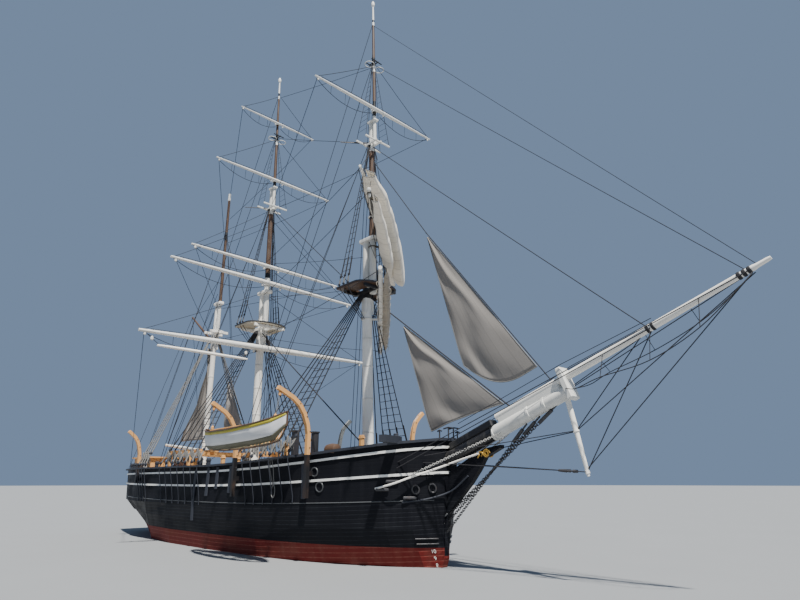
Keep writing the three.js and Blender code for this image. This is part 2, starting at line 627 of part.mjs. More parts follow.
const mastRoom = (mast, part) => rig[mast][part].form(2 * GAP);
const STAYS = {
  fore_stay: {
    from: mastPoint(MASTS.fore, 0.05, 14.05), to: [19.75, 0, jibboomZ(19.75)], thick: 0.07,
    rooms: [mastRoom('fore', 'lower'), jibboomRoom],
  },
  jib_stay: {
    from: mastPoint(MASTS.fore, MASTS.fore.step, 22.9), to: [21.9, 0, jibboomZ(21.9)], thick: 0.05,
    kink: [14.8, 0, 16.52], // where the sail's head pulls it down
    rooms: [mastRoom('fore', 'topmast'), jibboomRoom],
  },
  main_stay: {
    from: mastPoint(MASTS.main, 0, 13.85), to: mastPoint(MASTS.fore, 0, 5.3), thick: 0.07,
    rooms: [mastRoom('main', 'lower'), mastRoom('fore', 'lower')],
  },
  mizzen_stay: {
    from: mastPoint(MASTS.mizzen, 0, 14.8), to: mastPoint(MASTS.main, 0, 5.4), thick: 0.06,
    rooms: [mastRoom('mizzen', 'lower'), mastRoom('main', 'lower')],
  },
};
for (const [name, { from, to, thick, rooms, kink }] of Object.entries(STAYS)) {
  const whole = kink
    ? join(rod(from, kink, thick), block(kink, [thick, thick, thick]), rod(kink, to, thick))
    : rod(from, to, thick);
  add(ship, piece(name, cut(whole, ...rooms), FINISH.wire));
}

// Sails set on stays

/** A point just under a stay, where a sail's luff runs. */
function luff(name, x) {
  const { from, to, thick, kink } = STAYS[name];
  const [x0, , z0] = kink && x > kink[0] ? kink : from;
  const slope = (to[2] - z0) / (to[0] - x0);
  return [x, z0 + slope * (x - x0) - (thick / 2 + GAP) * Math.hypot(1, slope)];
}

/** A sail set on a stay: its luff's two ends and its other corners as [x, z]. */
const stayed = (name, on, head, tack, corners) => piece(name,
  plate([luff(on, head), luff(on, tack), ...corners], SAIL_THICKNESS), FINISH.canvas);
add(ship, stayed('inner_headsail', 'fore_stay', 13.1, 19.35, [[19.15, 6.9], [14.94, 6.04]]));
add(ship, stayed('outer_headsail', 'jib_stay', 14.84, 21.2,
  [[19.84, 7.82], [18.21, 8.04], [17.1, 8.99]]));
add(ship, stayed('mizzen_staysail', 'mizzen_stay', -5.3, -2.75, [[-5.35, 7.4]]));

// Davits and the whaleboat that hangs from two of them

const DAVIT_HALF = 0.1; // half the thickness of a davit's timber
// Columns: place, side, x, height of its head over its bracket, how far its foot goes on below that,
// how far its head reaches out.
const DAVITS = [
  ['forward_starboard', -1, 10.3, 4.2, 0.95, 1.9],
  ['forward_port', 1, 9.6, 3.85, 0.95, 0.95],
  ['waist_starboard', -1, 4.2, 4.18, 0.75, 1.65],
  ['waist_port', 1, 2.4, 4.1, 0.75, 0.95],
  ['quarter_starboard', -1, -9.95, 3.5, 0.05, 0.95],
  ['quarter_port', 1, -9.95, 3.5, 0.05, 0.95],
];
const breadthAt = (x, z) => {
  const next = STATIONS.findIndex(([station]) => station >= x);
  const [before, after] = [STATIONS[next - 1], STATIONS[next]];
  const t = (x - before[0]) / (after[0] - before[0]);
  return lerp(halfBreadth(before, z), halfBreadth(after, z), t);
};
const davitFoot = (x) => deckZ(x) + MOULDING_HEIGHT + 0.1;
const davitOut = (x) => breadthAt(x, railZ(x)) + RAIL_REACH + DAVIT_HALF + 6 * LAP_GAP;

/** A curved timber davit, its heel and its foot in a bracket on the hull's side. */
function davit([, side, x, high, drop, reach], half) {
  const foot = davitFoot(x);
  const out = davitOut(x);
  const curve = new THREE.CatmullRomCurve3([[0, -drop], [0, 0.28 * high], [0.03 * reach, 0.58 * high],
    [0.34 * reach, 0.84 * high], [reach, high]].map(([outward, up]) => v(x, side * (out + outward), foot + up)));
  const section = new THREE.Shape([[-half, -half], [half, -half], [half, half], [-half, half]]
    .map(([a, b]) => new THREE.Vector2(a, b)));
  return solid(new THREE.ExtrudeGeometry(section, { steps: 12, extrudePath: curve, bevelEnabled: false }));
}
const davitBracket = (x, side) => {
  const inner = breadthAt(x, deckZ(x)) - 0.1;
  const outer = davitOut(x);
  return block([x, (side * (inner + outer)) / 2, davitFoot(x) + 0.2], [0.2, outer - inner, 0.24]);
};
for (const row of DAVITS) {
  const [place, side, x] = row;
  const body = cut(join(davit(row, DAVIT_HALF), davitBracket(x, side)), wallRoom);
  add(ship, piece(`davit_${place}`, body, FINISH.tan));
}

// Columns: distance from amidships as a part of the half length, half-breadth, sheer above the keel's
// underside, rise of the keel.
const BOAT_SECTIONS = [[-1, 0.03, 1.22, 0.62], [-0.82, 0.42, 1.04, 0.12], [-0.5, 0.78, 0.9, 0.02],
  [0, 0.92, 0.84, 0], [0.5, 0.78, 0.92, 0.02], [0.82, 0.42, 1.1, 0.14], [1, 0.03, 1.34, 0.7]];
const BOAT_SIDE = [[0.3, 0], [0.62, 0.1], [0.84, 0.28], [0.96, 0.58], [1, 1]]; // part of the breadth, part of the height
const BOAT = { x: 7.4, y: -5.9, z: 5.35, half: 3.85, shell: 0.05, trim: 0.032 };

/** The boat's outer form, or with an inset the room inside it. */
function boatForm(inset) {
  const rows = BOAT_SECTIONS.map(([part, breadth, top, rise]) => {
    const y = Math.max(breadth - inset, 0.015);
    const x = part * (BOAT.half - inset);
    const high = inset ? top + BOAT.shell : top;
    const side = BOAT_SIDE.map(([wide, up]) => [wide * y, lerp(rise + inset, high, up)]);
    return [...side.map(([a, z]) => [x, -a, z]), ...side.reverse().map(([a, z]) => [x, a, z])];
  });
  const form = skin(rows, true, false);
  form.rotateY(-BOAT.trim);
  form.translate(BOAT.x, BOAT.y, BOAT.z);
  return solid(form);
}

// A pendant, the lower block, the rope parts and the upper block: part of the length, thickness.
const FALL_SIZES = [[0, 0.05], [0.28, 0.05], [0.281, 0.16], [0.4, 0.16], [0.401, 0.07], [0.8, 0.07],
  [0.801, 0.18], [1, 0.18]];

const HOOK_RISE = 0.15; // the keel's rise where the falls hook on

/** A fall: the tackle that the boat hangs by, from its keelson up to a davit's head. */
function fall(place) {
  const row = DAVITS.find(([name]) => name === `${place}_starboard`);
  const [, , x, high, , reach] = row;
  const head = [x, -davitOut(x) - reach + 0.08, davitFoot(x) + high - 0.12];
  const hook = [x, BOAT.y, BOAT.z + BOAT.trim * (x - BOAT.x) + HOOK_RISE];
  return cut(spar(hook, head, FALL_SIZES, 8), davit(row, DAVIT_HALF + GAP));
}
const boatShell = cut(boatForm(0), boatForm(BOAT.shell));
add(ship, piece('whaleboat', join(boatShell, fall('forward'), fall('waist')), FINISH.white));

// Rudder and steering wheel

const STERN_POST_X = -14.5;
const STOCK_RADIUS = 0.14;
const RUDDER_AXIS_X = STERN_POST_X - STOCK_RADIUS - 2 * GAP;
const RUDDER = { heelZ: -3.4, headZ: 0.76, thick: 0.2 };
const rudderOutline = [[RUDDER_AXIS_X, RUDDER.heelZ], [-16.15, RUDDER.heelZ], [-16.1, -2.2],
  [-15.5, RUDDER.headZ], [RUDDER_AXIS_X, RUDDER.headZ]];
add(ship, piece('rudder', join(
  rod([RUDDER_AXIS_X, 0, RUDDER.heelZ], [RUDDER_AXIS_X, 0, BOOT_TOP_Z], 2 * STOCK_RADIUS, 12),
  plate(rudderOutline, RUDDER.thick),
), FINISH.red));

const WHEEL = { x: -13.9, z: 4.5, radius: 0.6, spokes: 8, handles: 1.28, spoke: 0.05, rimHalf: 0.04,
  hub: 0.2, bearing: 0.18 };
const rim = new THREE.LatheGeometry([[0.93, -1], [1, -1], [1, 1], [0.93, 1], [0.93, -1]]
  .map(([part, up]) => new THREE.Vector2(part * WHEEL.radius, up * WHEEL.rimHalf)), 24);
const spokes = Array.from({ length: WHEEL.spokes }, (_, i) => {
  const angle = (i * 2 * Math.PI) / WHEEL.spokes;
  const reach = WHEEL.radius * WHEEL.handles;
  return rod([0, 0, 0], [reach * Math.sin(angle), 0, reach * Math.cos(angle)], WHEEL.spoke, 6);
});
const wheelHub = rod([0, -0.16, 0], [0, 0.1, 0], WHEEL.hub, 12);
const wheelMesh = piece('steering_wheel', join(solid(rim), wheelHub, ...spokes), FINISH.tan);
wheelMesh.position.set(WHEEL.x, 0, WHEEL.z);
wheelMesh.rotation.z = Math.PI / 2;
add(ship, wheelMesh);
const STAND = { ahead: 0.36, middleZ: 4.1, size: [0.34, 0.5, 1.5] };
const wheelBearing = [[WHEEL.x + 0.16 + GAP, 0, WHEEL.z], [WHEEL.x + 0.4, 0, WHEEL.z]];
add(ship, piece('wheel_stand', onDeck(join(
  block([WHEEL.x + STAND.ahead, 0, STAND.middleZ], STAND.size),
  rod(...wheelBearing, WHEEL.bearing, 12),
)), FINISH.tan));

// Windlass

const WINDLASS = { x: 13.1, z: 4.72, half: 1.35, bitt: 0.14, journal: 0.19 };
const PAWL = { ahead: 0.55, railHigh: 0.3, bittHigh: 2.0, kneeAhead: 0.3 }; // the bitt and rail ahead of it
const bittZ = WINDLASS.z - 0.32;
const railZAtWindlass = WINDLASS.z - 0.22;
const barrelEnd = (side, overhang) => [WINDLASS.x, side * (WINDLASS.half + overhang), WINDLASS.z];
const barrelAxis = (overhang) => [barrelEnd(-1, overhang), barrelEnd(1, overhang)];
const bittY = WINDLASS.half + WINDLASS.bitt;
add(ship, piece('windlass_frame', onDeck(cut(join(
  ...[-1, 1].map((side) => block([WINDLASS.x, side * bittY, bittZ], [0.5, 0.22, 1.7])),
  block([WINDLASS.x + PAWL.ahead, 0, railZAtWindlass], [0.22, 2 * WINDLASS.half + 0.5, PAWL.railHigh]),
  block([WINDLASS.x + PAWL.ahead, 0, bittZ - 0.05], [0.26, 0.3, PAWL.bittHigh]),
  ...[-1, 1].map((side) => block(
    [WINDLASS.x + PAWL.kneeAhead, side * bittY, railZAtWindlass], [0.5, 0.16, 0.28])),
), rod(...barrelAxis(0.4), WINDLASS.journal + 2 * GAP, 12))), FINISH.tan));
const barrelHalf = [[0, 0.3], [0.06, 0.3], [0.061, WINDLASS.journal], [0.148, WINDLASS.journal],
  [0.149, 0.46], [0.46, 0.46], [0.461, 0.56]];
const barrelTurned = [...barrelHalf, ...[...barrelHalf].reverse().map(([part, size]) => [1 - part, size])];
add(ship, piece('windlass_barrel', spar(...barrelAxis(0.5), barrelTurned), FINISH.tan));

// After house with its doors

const HOUSE = { aft: -15.3, forward: -12.2, outer: 2.2, inner: 1.05, wall: 0.08, roofZ: 5.45, roof: 0.1,
  footZ: 3.45, eaves: 0.15 };
const houseLength = HOUSE.forward - HOUSE.aft;
const houseX = (HOUSE.forward + HOUSE.aft) / 2;
const houseY = (HOUSE.outer + HOUSE.inner) / 2;
const houseBox = (side, inset, low, high) => block([houseX, side * houseY, (low + high) / 2],
  [houseLength - 2 * inset, HOUSE.outer - HOUSE.inner - 2 * inset, high - low]);
const DOOR = { width: 0.62, low: 3.72, high: 5.2, thick: 0.06, x: HOUSE.forward - 0.75 };
const WINDOW = { apart: 1.4, z: 4.75, size: 0.4 };
const doorMiddleZ = (DOOR.low + DOOR.high) / 2;
const doorHeight = DOOR.high - DOOR.low;
const doorway = (side) => block([DOOR.x, side * HOUSE.inner, doorMiddleZ], [DOOR.width, 0.4, doorHeight]);
const houseWindow = (side, x) => block([x, side * HOUSE.outer, WINDOW.z], Array(3).fill(WINDOW.size));
const houseSide = (side) => cut(
  houseBox(side, 0, HOUSE.footZ, HOUSE.roofZ),
  houseBox(side, HOUSE.wall, HOUSE.footZ - HOUSE.wall, HOUSE.roofZ - HOUSE.wall),
  doorway(side),
  houseWindow(side, houseX - WINDOW.apart / 2),
  houseWindow(side, houseX + WINDOW.apart / 2),
);
const houseRoof = block([houseX, 0, HOUSE.roofZ + HOUSE.roof * 0.4],
  [houseLength + 2 * HOUSE.eaves, 2 * (HOUSE.outer + HOUSE.eaves), HOUSE.roof]);
add(ship, piece('after_house', onDeck(join(houseSide(-1), houseSide(1), houseRoof)), FINISH.tan));
for (const [sideName, side] of [['starboard', -1], ['port', 1]]) {
  const middle = [DOOR.x, side * (HOUSE.inner + DOOR.thick / 2), doorMiddleZ];
  const size = [DOOR.width - 4 * GAP, DOOR.thick, doorHeight - 4 * GAP];
  add(ship, piece(`house_door_${sideName}`, block(middle, size), FINISH.tan));
}

// Tryworks, hatch and boat skids

const TRYWORKS = { middle: [5.8, 0, 4.2], size: [2.3, 2.7, 1.6] };
const FLUE = { x: 4.62, y: 0.72, z: 5.4, size: [0.3, 0.34, 2.5] };
add(ship, piece('tryworks', onDeck(join(
  block(TRYWORKS.middle, TRYWORKS.size),
  ...[-1, 1].map((side) => block([FLUE.x, side * FLUE.y, FLUE.z], FLUE.size)),
)), FINISH.brick));

const HATCH = { x: 2.2, wide: 2.1, highZ: 4.0, coaming: 0.5, cover: 0.1 };
const hatchCoaming = block([HATCH.x, 0, HATCH.highZ - HATCH.coaming / 2],
  [HATCH.wide, HATCH.wide, HATCH.coaming]);
const hatchCover = block([HATCH.x, 0, HATCH.highZ + 0.03],
  [HATCH.wide - 0.2, HATCH.wide - 0.2, HATCH.cover]);
add(ship, piece('main_hatch', onDeck(join(hatchCoaming, hatchCover)), FINISH.deck));

const SKIDS = { beamX: [-3.4, -6.2], z: 5.5, beam: [0.24, 7.1, 0.2], postY: 3.4, post: [0.2, 0.2, 2.5],
  runnerY: [-3.0, -1.9, 1.9, 3.0], runner: [4.4, 0.3, 0.16] };
const skidsX = (SKIDS.beamX[0] + SKIDS.beamX[1]) / 2;
add(ship, piece('boat_skids', onDeck(join(
  ...SKIDS.beamX.flatMap((x) => [
    block([x, 0, SKIDS.z], SKIDS.beam),
    ...[-1, 1].map((side) => block([x, side * SKIDS.postY, SKIDS.z - 1.2], SKIDS.post)),
  ]),
  ...SKIDS.runnerY.map((y) => block([skidsX, y, SKIDS.z + 0.16], SKIDS.runner)),
)), FINISH.tan));

ship.scale.setScalar(MM_PER_METRE * MODEL_SCALE);
export default ship;
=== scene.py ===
"""Dresses the solids of a three-masted whaling bark: her paint, sails, rigging and fittings.

Sizes are metres of the full-size ship, in her own frame: +X forward, +Y port, +Z up, with the
origin amidships on the waterline. Each finished mesh is brought down to the model's scale.
"""

import logging
import math
import random
from dataclasses import dataclass
from enum import Enum
from itertools import pairwise
from typing import Callable, Iterable, Sequence

import bpy
from mathutils import Euler, Matrix, Vector
from mathutils.bvhtree import BVHTree
from mathutils.noise import noise as smooth_noise


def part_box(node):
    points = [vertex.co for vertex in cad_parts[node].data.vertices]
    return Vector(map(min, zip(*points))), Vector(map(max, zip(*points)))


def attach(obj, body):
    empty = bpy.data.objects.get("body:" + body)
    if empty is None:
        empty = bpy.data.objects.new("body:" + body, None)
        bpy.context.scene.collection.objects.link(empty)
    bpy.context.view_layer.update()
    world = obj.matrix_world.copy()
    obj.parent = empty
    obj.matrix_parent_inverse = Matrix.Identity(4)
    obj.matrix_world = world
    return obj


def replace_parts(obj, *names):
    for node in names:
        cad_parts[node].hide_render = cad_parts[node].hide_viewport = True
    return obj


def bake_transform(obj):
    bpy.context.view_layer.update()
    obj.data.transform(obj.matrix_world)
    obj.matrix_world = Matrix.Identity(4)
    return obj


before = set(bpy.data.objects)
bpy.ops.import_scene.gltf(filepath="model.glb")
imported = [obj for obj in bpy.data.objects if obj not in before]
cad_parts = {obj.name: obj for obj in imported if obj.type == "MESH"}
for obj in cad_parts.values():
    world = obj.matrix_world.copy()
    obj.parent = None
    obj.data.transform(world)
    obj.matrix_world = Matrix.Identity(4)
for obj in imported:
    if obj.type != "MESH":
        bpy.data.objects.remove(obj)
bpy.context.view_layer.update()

LOG = logging.getLogger("bark")
MODEL_SCALE = 0.5  # metres of the model in a metre of the ship
HALF_LENGTH = 16.0  # from amidships to the stem, and to the stern
RUNNING_ROPE = 0.034  # how thick most running ropes are
SHIP = "ship"  # the body that everything fixed rides on

Row = Sequence[float]
Line = Sequence[Row]
Shape = bpy.types.Object
Surface = Callable[[float, float], Vector]  # a sail's point, from 0 to 1 along its head and down


class Side(Enum):
    """A side of the ship, by the sign of its Y."""

    STARBOARD = -1
    PORT = 1

    @property
    def word(self) -> str:
        """The side's name in a piece's name."""
        return self.name.lower()


# Shader tools


class Signal:
    """A socket's values, which Python's operators combine through Math nodes."""

    def __init__(self, graph: "Graph", socket: bpy.types.NodeSocket) -> None:
        """Keeps the graph that the socket is in."""
        self.graph = graph
        self.socket = socket

    def math(self, operation: str, *others: "Signal | float") -> "Signal":
        """This value and others through one Math node.

        Args:
            operation: The Math node's operation.
            others: Its second value, and its third where it has one.

        Returns:
            The node's value.
        """
        values = dict(enumerate((self, *others)))
        return self.graph.node("ShaderNodeMath", {"operation": operation}, values)

    def __add__(self, other: "Signal | float") -> "Signal":
        """Adds."""
        return self.math("ADD", other)

    def __sub__(self, other: "Signal | float") -> "Signal":
        """Subtracts."""
        return self.math("SUBTRACT", other)

    def __rsub__(self, other: float) -> "Signal":
        """Takes this from a number."""
        return (self * -1.0) + other

    def __mul__(self, other: "Signal | float") -> "Signal":
        """Multiplies."""
        return self.math("MULTIPLY", other)

    def __truediv__(self, other: float) -> "Signal":
        """Divides."""
        return self.math("DIVIDE", other)

    __radd__ = __add__
    __rmul__ = __mul__

    def above(self, low: float, high: float) -> "Signal":
        """0 under low, 1 over high, and smooth between."""
        settings = {"interpolation_type": "SMOOTHSTEP"}
        return self.graph.node("ShaderNodeMapRange", settings, {0: self, 1: low, 2: high})

    def seam(self, width: float) -> "Signal":
        """1 in a narrow line at each whole number, and 0 between.

        Args:
            width: The line's width as a part of the distance between lines.

        Returns:
            The mask.
        """
        away = (self.math("FRACT") - 0.5).math("ABSOLUTE")
        return away.above(0.5 - width, 0.5 - width / 4)


class Graph:
    """A material's nodes, with its one Principled shader."""

    def __init__(self, name: str) -> None:
        """Starts a material of that name."""
        self.material = bpy.data.materials.new(name)
        self.material.use_nodes = True
        self.tree = self.material.node_tree
        self.tree.nodes.clear()
        self.shader = self.tree.nodes.new("ShaderNodeBsdfPrincipled")
        output = self.tree.nodes.new("ShaderNodeOutputMaterial")
        self.tree.links.new(self.shader.outputs[0], output.inputs[0])
        self.values = {}

    def node(self, kind: str, settings: dict | None = None, inputs: dict | None = None,
             output: int = 0) -> Signal:
        """A node of any kind.

        Args:
            kind: The node's type.
            settings: Its own settings; "stops" are a colour ramp's places and colours.
            inputs: Values or signals by socket.
            output: The socket that it hands on.

        Returns:
            The signal of that socket.
        """
        made = self.tree.nodes.new(kind)
        for name, value in (settings or {}).items():
            if name == "stops":
                self._fill_ramp(made.color_ramp, value)
            else:
                setattr(made, name, value)
        for key, value in (inputs or {}).items():
            self._feed(made.inputs[key], value)
        return Signal(self, made.outputs[output])

    @staticmethod
    def _fill_ramp(ramp: bpy.types.ColorRamp, stops: Sequence[tuple[float, Row]]) -> None:
        """Sets a ramp's stops, which come in order."""
        while len(ramp.elements) < len(stops):
            ramp.elements.new(1.0)
        for element, (place, color) in zip(ramp.elements, stops):
            element.position = place
            element.color = (*color, 1.0)

    def _feed(self, socket: bpy.types.NodeSocket, value: object) -> None:
        """Links a signal to a socket or sets the socket's value."""
        if isinstance(value, Signal):
            self.tree.links.new(value.socket, socket)
        elif isinstance(value, tuple) and len(value) == 3 and socket.type == "RGBA":
            socket.default_value = (*value, 1.0)
        else:
            socket.default_value = value

    def place(self) -> Signal:
        """The point on the ship, in full-size metres."""
        own = self.node("ShaderNodeTexCoord", output=3)
        return self.node("ShaderNodeVectorMath", {"operation": "SCALE"}, {0: own, 3: 1 / MODEL_SCALE})

    def axes(self, vector: Signal) -> tuple[Signal, Signal, Signal]:
        """A vector's three values."""
        split = self.node("ShaderNodeSeparateXYZ", inputs={0: vector}).socket.node
        return tuple(Signal(self, socket) for socket in split.outputs)

    def stretch(self, vector: Signal, factors: Row) -> Signal:
        """A vector with each axis multiplied."""
        settings = {"operation": "MULTIPLY"}
        return self.node("ShaderNodeVectorMath", settings, {0: vector, 1: tuple(factors)})

    def noise(self, vector: Signal, scale: float, detail: float = 3.0) -> Signal:
        """Soft noise from 0 to 1."""
        return self.node("ShaderNodeTexNoise", inputs={"Vector": vector, "Scale": scale, "Detail": detail})

    def blend(self, base: Signal | Row, other: Signal | Row, mask: Signal | float) -> Signal:
        """Base where the mask is 0 and the other colour where it is 1."""
        settings = {"data_type": "RGBA"}
        return self.node("ShaderNodeMix", settings, {0: mask, 6: base, 7: other}, output=2)

    def bands(self, value: Signal, low: float, high: float, stops: Sequence[tuple[float, Row]]) -> Signal:
        """Hard-edged colours by a value.

        Args:
            value: What the bands go by.
            low: Its value at the ramp's start.
            high: Its value at the ramp's end.
            stops: The value at which each colour starts, in order.

        Returns:
            The colour.
        """
        part = (value - low) / (high - low)
        scaled = [((place - low) / (high - low), color) for place, color in stops]
        ramp = self.node("ShaderNodeValToRGB", {"stops": scaled}, {0: part})
        ramp.socket.node.color_ramp.interpolation = "CONSTANT"
        return ramp

    def finish(self, color: Signal | Row, roughness: Signal | float, relief: Signal | None = None,
               depth: float = 0.01, strength: float = 0.5, **constants: float) -> bpy.types.Material:
        """Feeds the shader and closes the material.

        Args:
            color: The base colour.
            roughness: The roughness.
            relief: A height from 0 to 1 for the bump, if the surface has one.
            depth: How deep that height is, in full-size metres.
            strength: The bump's strength.
            constants: Other sockets of the shader, with underscores for spaces.

        Returns:
            The material.
        """
        self._feed(self.shader.inputs["Base Color"], color)
        self._feed(self.shader.inputs["Roughness"], roughness)
        for name, value in constants.items():
            self.shader.inputs[name.replace("_", " ")].default_value = value
        if relief is not None:
            inputs = {"Strength": strength, "Distance": depth * MODEL_SCALE, "Height": relief}
            self._feed(self.shader.inputs["Normal"], self.node("ShaderNodeBump", inputs=inputs))
        return self.material


# Finishes

WHITE = (0.80, 0.80, 0.77)
OFF_WHITE = (0.66, 0.66, 0.63)
GRIME = (0.16, 0.15, 0.13)
BLACK = (0.0065, 0.007, 0.010)
SOFT_BLACK = (0.009, 0.009, 0.011)
RED = (0.15, 0.018, 0.016)
SPAR_BROWN = (0.085, 0.05, 0.032)
BUFF = (0.62, 0.33, 0.12)
GOLD = (0.55, 0.33, 0.06)


@dataclass(frozen=True)
class Finish:
    """A surface finish, whose material is made once."""

    name: str

    def material(self) -> bpy.types.Material:
        """The finish's material."""
        found = bpy.data.materials.get(self.name)
        return found or self.mix(Graph(self.name))

    def mix(self, graph: Graph) -> bpy.types.Material:
        """Builds the material's nodes."""
        raise NotImplementedError


@dataclass(frozen=True)
class HullPaint(Finish):
    """Paint on the hull's planks, whose seams follow the sheer."""

    color: Row = BLACK
    # The colour of worn paint; brightened, it is also the colour of the painted seam highlight.
    worn: Row = (0.020, 0.022, 0.026)
    seams_below: float = 2.55
    strake: float = 0.19
    roughness: float = 0.48
    # How strong the wear is; it also sets the strength of the painted seam highlight.
    wear: float = 0.5
    gloss: float = 0.1

    RISE = 0.55  # how much higher a seam is at the stem than amidships

    def mix(self, graph: Graph) -> bpy.types.Material:
        """Builds plank seams, a dull bloom low on the side, streaks that run down, and a painted highlight along the
        seams low on the side.
        """
        place = graph.place()
        x, _, z = graph.axes(place)
        rise = x.math("MAXIMUM", 0.0).math("POWER", 2.0) * (self.RISE / HALF_LENGTH ** 2)
        height = z - rise
        seam = (height / self.strake).seam(0.16)
        low = 1.0 - height.above(self.seams_below - 0.25, self.seams_below)
        streaks = graph.noise(graph.stretch(place, (1.5, 1.5, 0.16)), 1.6, 5.0).above(0.42, 0.72)
        blotch = graph.noise(graph.stretch(place, (0.35, 0.35, 1.2)), 1.0, 4.0).above(0.4, 0.7)
        # Painted highlight: low on the side the seams are lightened in broken lengths, standing for light off the
        # water; the worn colour, brightened, is its colour and wear sets its strength.
        seam_highlight_breaks = graph.noise(graph.stretch(place, (2.2, 0.2, 0.8)), 3.0, 2.0).above(0.35, 0.65)
        painted_seam_highlight = seam * low * (0.35 + 0.65 * seam_highlight_breaks)
        worn = graph.blend(self.color, self.worn, (streaks * 0.4 + blotch * low * 0.6) * self.wear)
        color = graph.blend(worn, tuple(1.9 * part for part in self.worn), painted_seam_highlight * 0.55 * self.wear)
        roughness = self.roughness + 0.22 * blotch + 0.1 * streaks
        relief = 1.0 - seam * (0.35 + 0.65 * low) + 0.12 * blotch
        return graph.finish(color, roughness, relief, 0.012, 0.6, Specular_IOR_Level=self.gloss)


@dataclass(frozen=True)
class Paint(Finish):
    """Oil paint on timber or iron, with grime in streaks and a brushed grain."""

    color: Row = WHITE
    grime: Row = GRIME
    roughness: float = 0.42
    wear: float = 0.35
    along: Row = (0.5, 0.5, 0.12)
    gloss: float = 0.4

    def tint(self, graph: Graph, place: Signal) -> Signal | Row:
        """The clean colour, which a striped paint changes."""
        return self.color

    def mix(self, graph: Graph) -> bpy.types.Material:
        """Builds the paint."""
        place = graph.place()
        streaks = graph.noise(graph.stretch(place, self.along), 9.0, 6.0).above(0.52, 0.8)
        patches = graph.noise(place, 1.3, 4.0).above(0.45, 0.75)
        grain = graph.noise(graph.stretch(place, self.along), 60.0, 2.0)
        dirty = graph.blend(self.tint(graph, place), self.grime, (streaks * 0.65 + patches * 0.35) * self.wear)
        return graph.finish(dirty, self.roughness + 0.2 * patches, grain + 0.4 * streaks, 0.004, 0.35,
                            Specular_IOR_Level=self.gloss)


@dataclass(frozen=True)
class BandedPaint(Paint):
    """Paint in bands of colour, by height as on the upper masts or by length as on the bowsprit."""

    stops: tuple[tuple[float, Row], ...] = ()
    axis: int = 2

    def tint(self, graph: Graph, place: Signal) -> Signal:
        """The band at this place."""
        return graph.bands(graph.axes(place)[self.axis], self.stops[0][0], self.stops[-1][0] + 10.0, self.stops)


@dataclass(frozen=True)
class DeckPlanks(Finish):
    """Scrubbed pine planks with pitched seams, laid fore and aft."""

    color: Row = (0.36, 0.29, 0.20)
    plank: float = 0.16

    SPREAD, SHUFFLE = 12.9898, 43.7  # turn a plank's number into its own shade

    def mix(self, graph: Graph) -> bpy.types.Material:
        """Builds the planks, their seams and their grain."""
        place = graph.place()
        _, y, _ = graph.axes(place)
        seam = (y / self.plank).seam(0.1)
        number = (y / self.plank).math("FLOOR")
        shade = ((number * self.SPREAD).math("SINE") * self.SHUFFLE).math("FRACT")
        grain = graph.noise(graph.stretch(place, (0.6, 14.0, 6.0)), 4.0, 6.0)
        stain = graph.noise(place, 0.5, 4.0).above(0.45, 0.75)
        wood = graph.blend(self.color, tuple(0.62 * part for part in self.color), shade * 0.5 + grain * 0.5)
        aged = graph.blend(wood, (0.2, 0.19, 0.17), stain * 0.45)
        color = graph.blend(aged, (0.02, 0.018, 0.016), seam)
        return graph.finish(color, 0.7 + 0.15 * grain, 1.0 - seam + 0.2 * grain, 0.008, 0.6)


@dataclass(frozen=True)
class Canvas(Finish):
    """Sailcloth: a plain weave, sewn seams between its cloths and weather stains."""

    color: Row = (0.62, 0.60, 0.54)
    stain: Row = (0.30, 0.29, 0.27)
    cloth: float = 0.6
    stained: float = 0.5
    seams: float = 0.38

    THREADS = 90.0  # how close the weave's threads lie
    HEM = 0.9  # the distance between the seams across the cloths

    def mix(self, graph: Graph) -> bpy.types.Material:
        """Builds the cloth, which reads the sail's own UV map in metres."""
        own = graph.node("ShaderNodeUVMap", {"uv_map": "cloth"})
        u, v, _ = graph.axes(own)
        seam = (u / self.cloth).seam(0.1)
        hem = (v / self.HEM).seam(0.03) * 0.4
        warp, weft = [(way * self.THREADS).math("SINE") * 0.5 + 0.5 for way in (u, v)]
        clouds = graph.noise(graph.stretch(own, (0.5, 0.22, 1.0)), 1.6, 6.0).above(0.38, 0.75)
        specks = graph.noise(own, 7.0, 3.0).above(0.55, 0.8)
        soiled = graph.blend(self.color, self.stain, (clouds * 0.6 + specks * 0.3) * self.stained)
        color = graph.blend(soiled, tuple(0.7 * part for part in self.stain), (seam + hem) * self.seams)
        relief = warp * 0.25 + weft * 0.25 + seam * 0.5
        return graph.finish(color, 0.88, relief, 0.006, 0.5, Sheen_Weight=0.12)


@dataclass(frozen=True)
class Cordage(Finish):
    """Laid rope, tarred or bare."""

    color: Row = (0.018, 0.016, 0.015)
    light: Row = (0.07, 0.065, 0.06)
    lay: float = 26.0

    def mix(self, graph: Graph) -> bpy.types.Material:
        """Builds strands that slant across the rope."""
        place = graph.place()
        x, y, z = graph.axes(place)
        strands = ((x + y * 0.7 + z * 1.3) * (self.lay * math.tau)).math("SINE") * 0.5 + 0.5
        dust = graph.noise(place, 3.0, 4.0)
        color = graph.blend(self.color, self.light, strands * 0.4 + dust * 0.35)
        return graph.finish(color, 0.8, strands, 0.006, 0.5)


@dataclass(frozen=True)
class Iron(Finish):
    """Painted or galvanized iron, with rust where the paint has gone."""

    color: Row = (0.05, 0.05, 0.055)
    rust: Row = (0.12, 0.045, 0.02)
    rusted: float = 0.25
    metallic: float = 0.4

    def mix(self, graph: Graph) -> bpy.types.Material:
        """Builds the metal."""
        place = graph.place()
        blooms = graph.noise(place, 5.0, 6.0).above(0.55, 0.75)
        pits = graph.noise(place, 40.0, 3.0)
        color = graph.blend(self.color, self.rust, blooms * self.rusted)
        return graph.finish(color, 0.42 + 0.35 * blooms, pits + 0.5 * blooms, 0.004, 0.4,
                            Metallic=self.metallic)


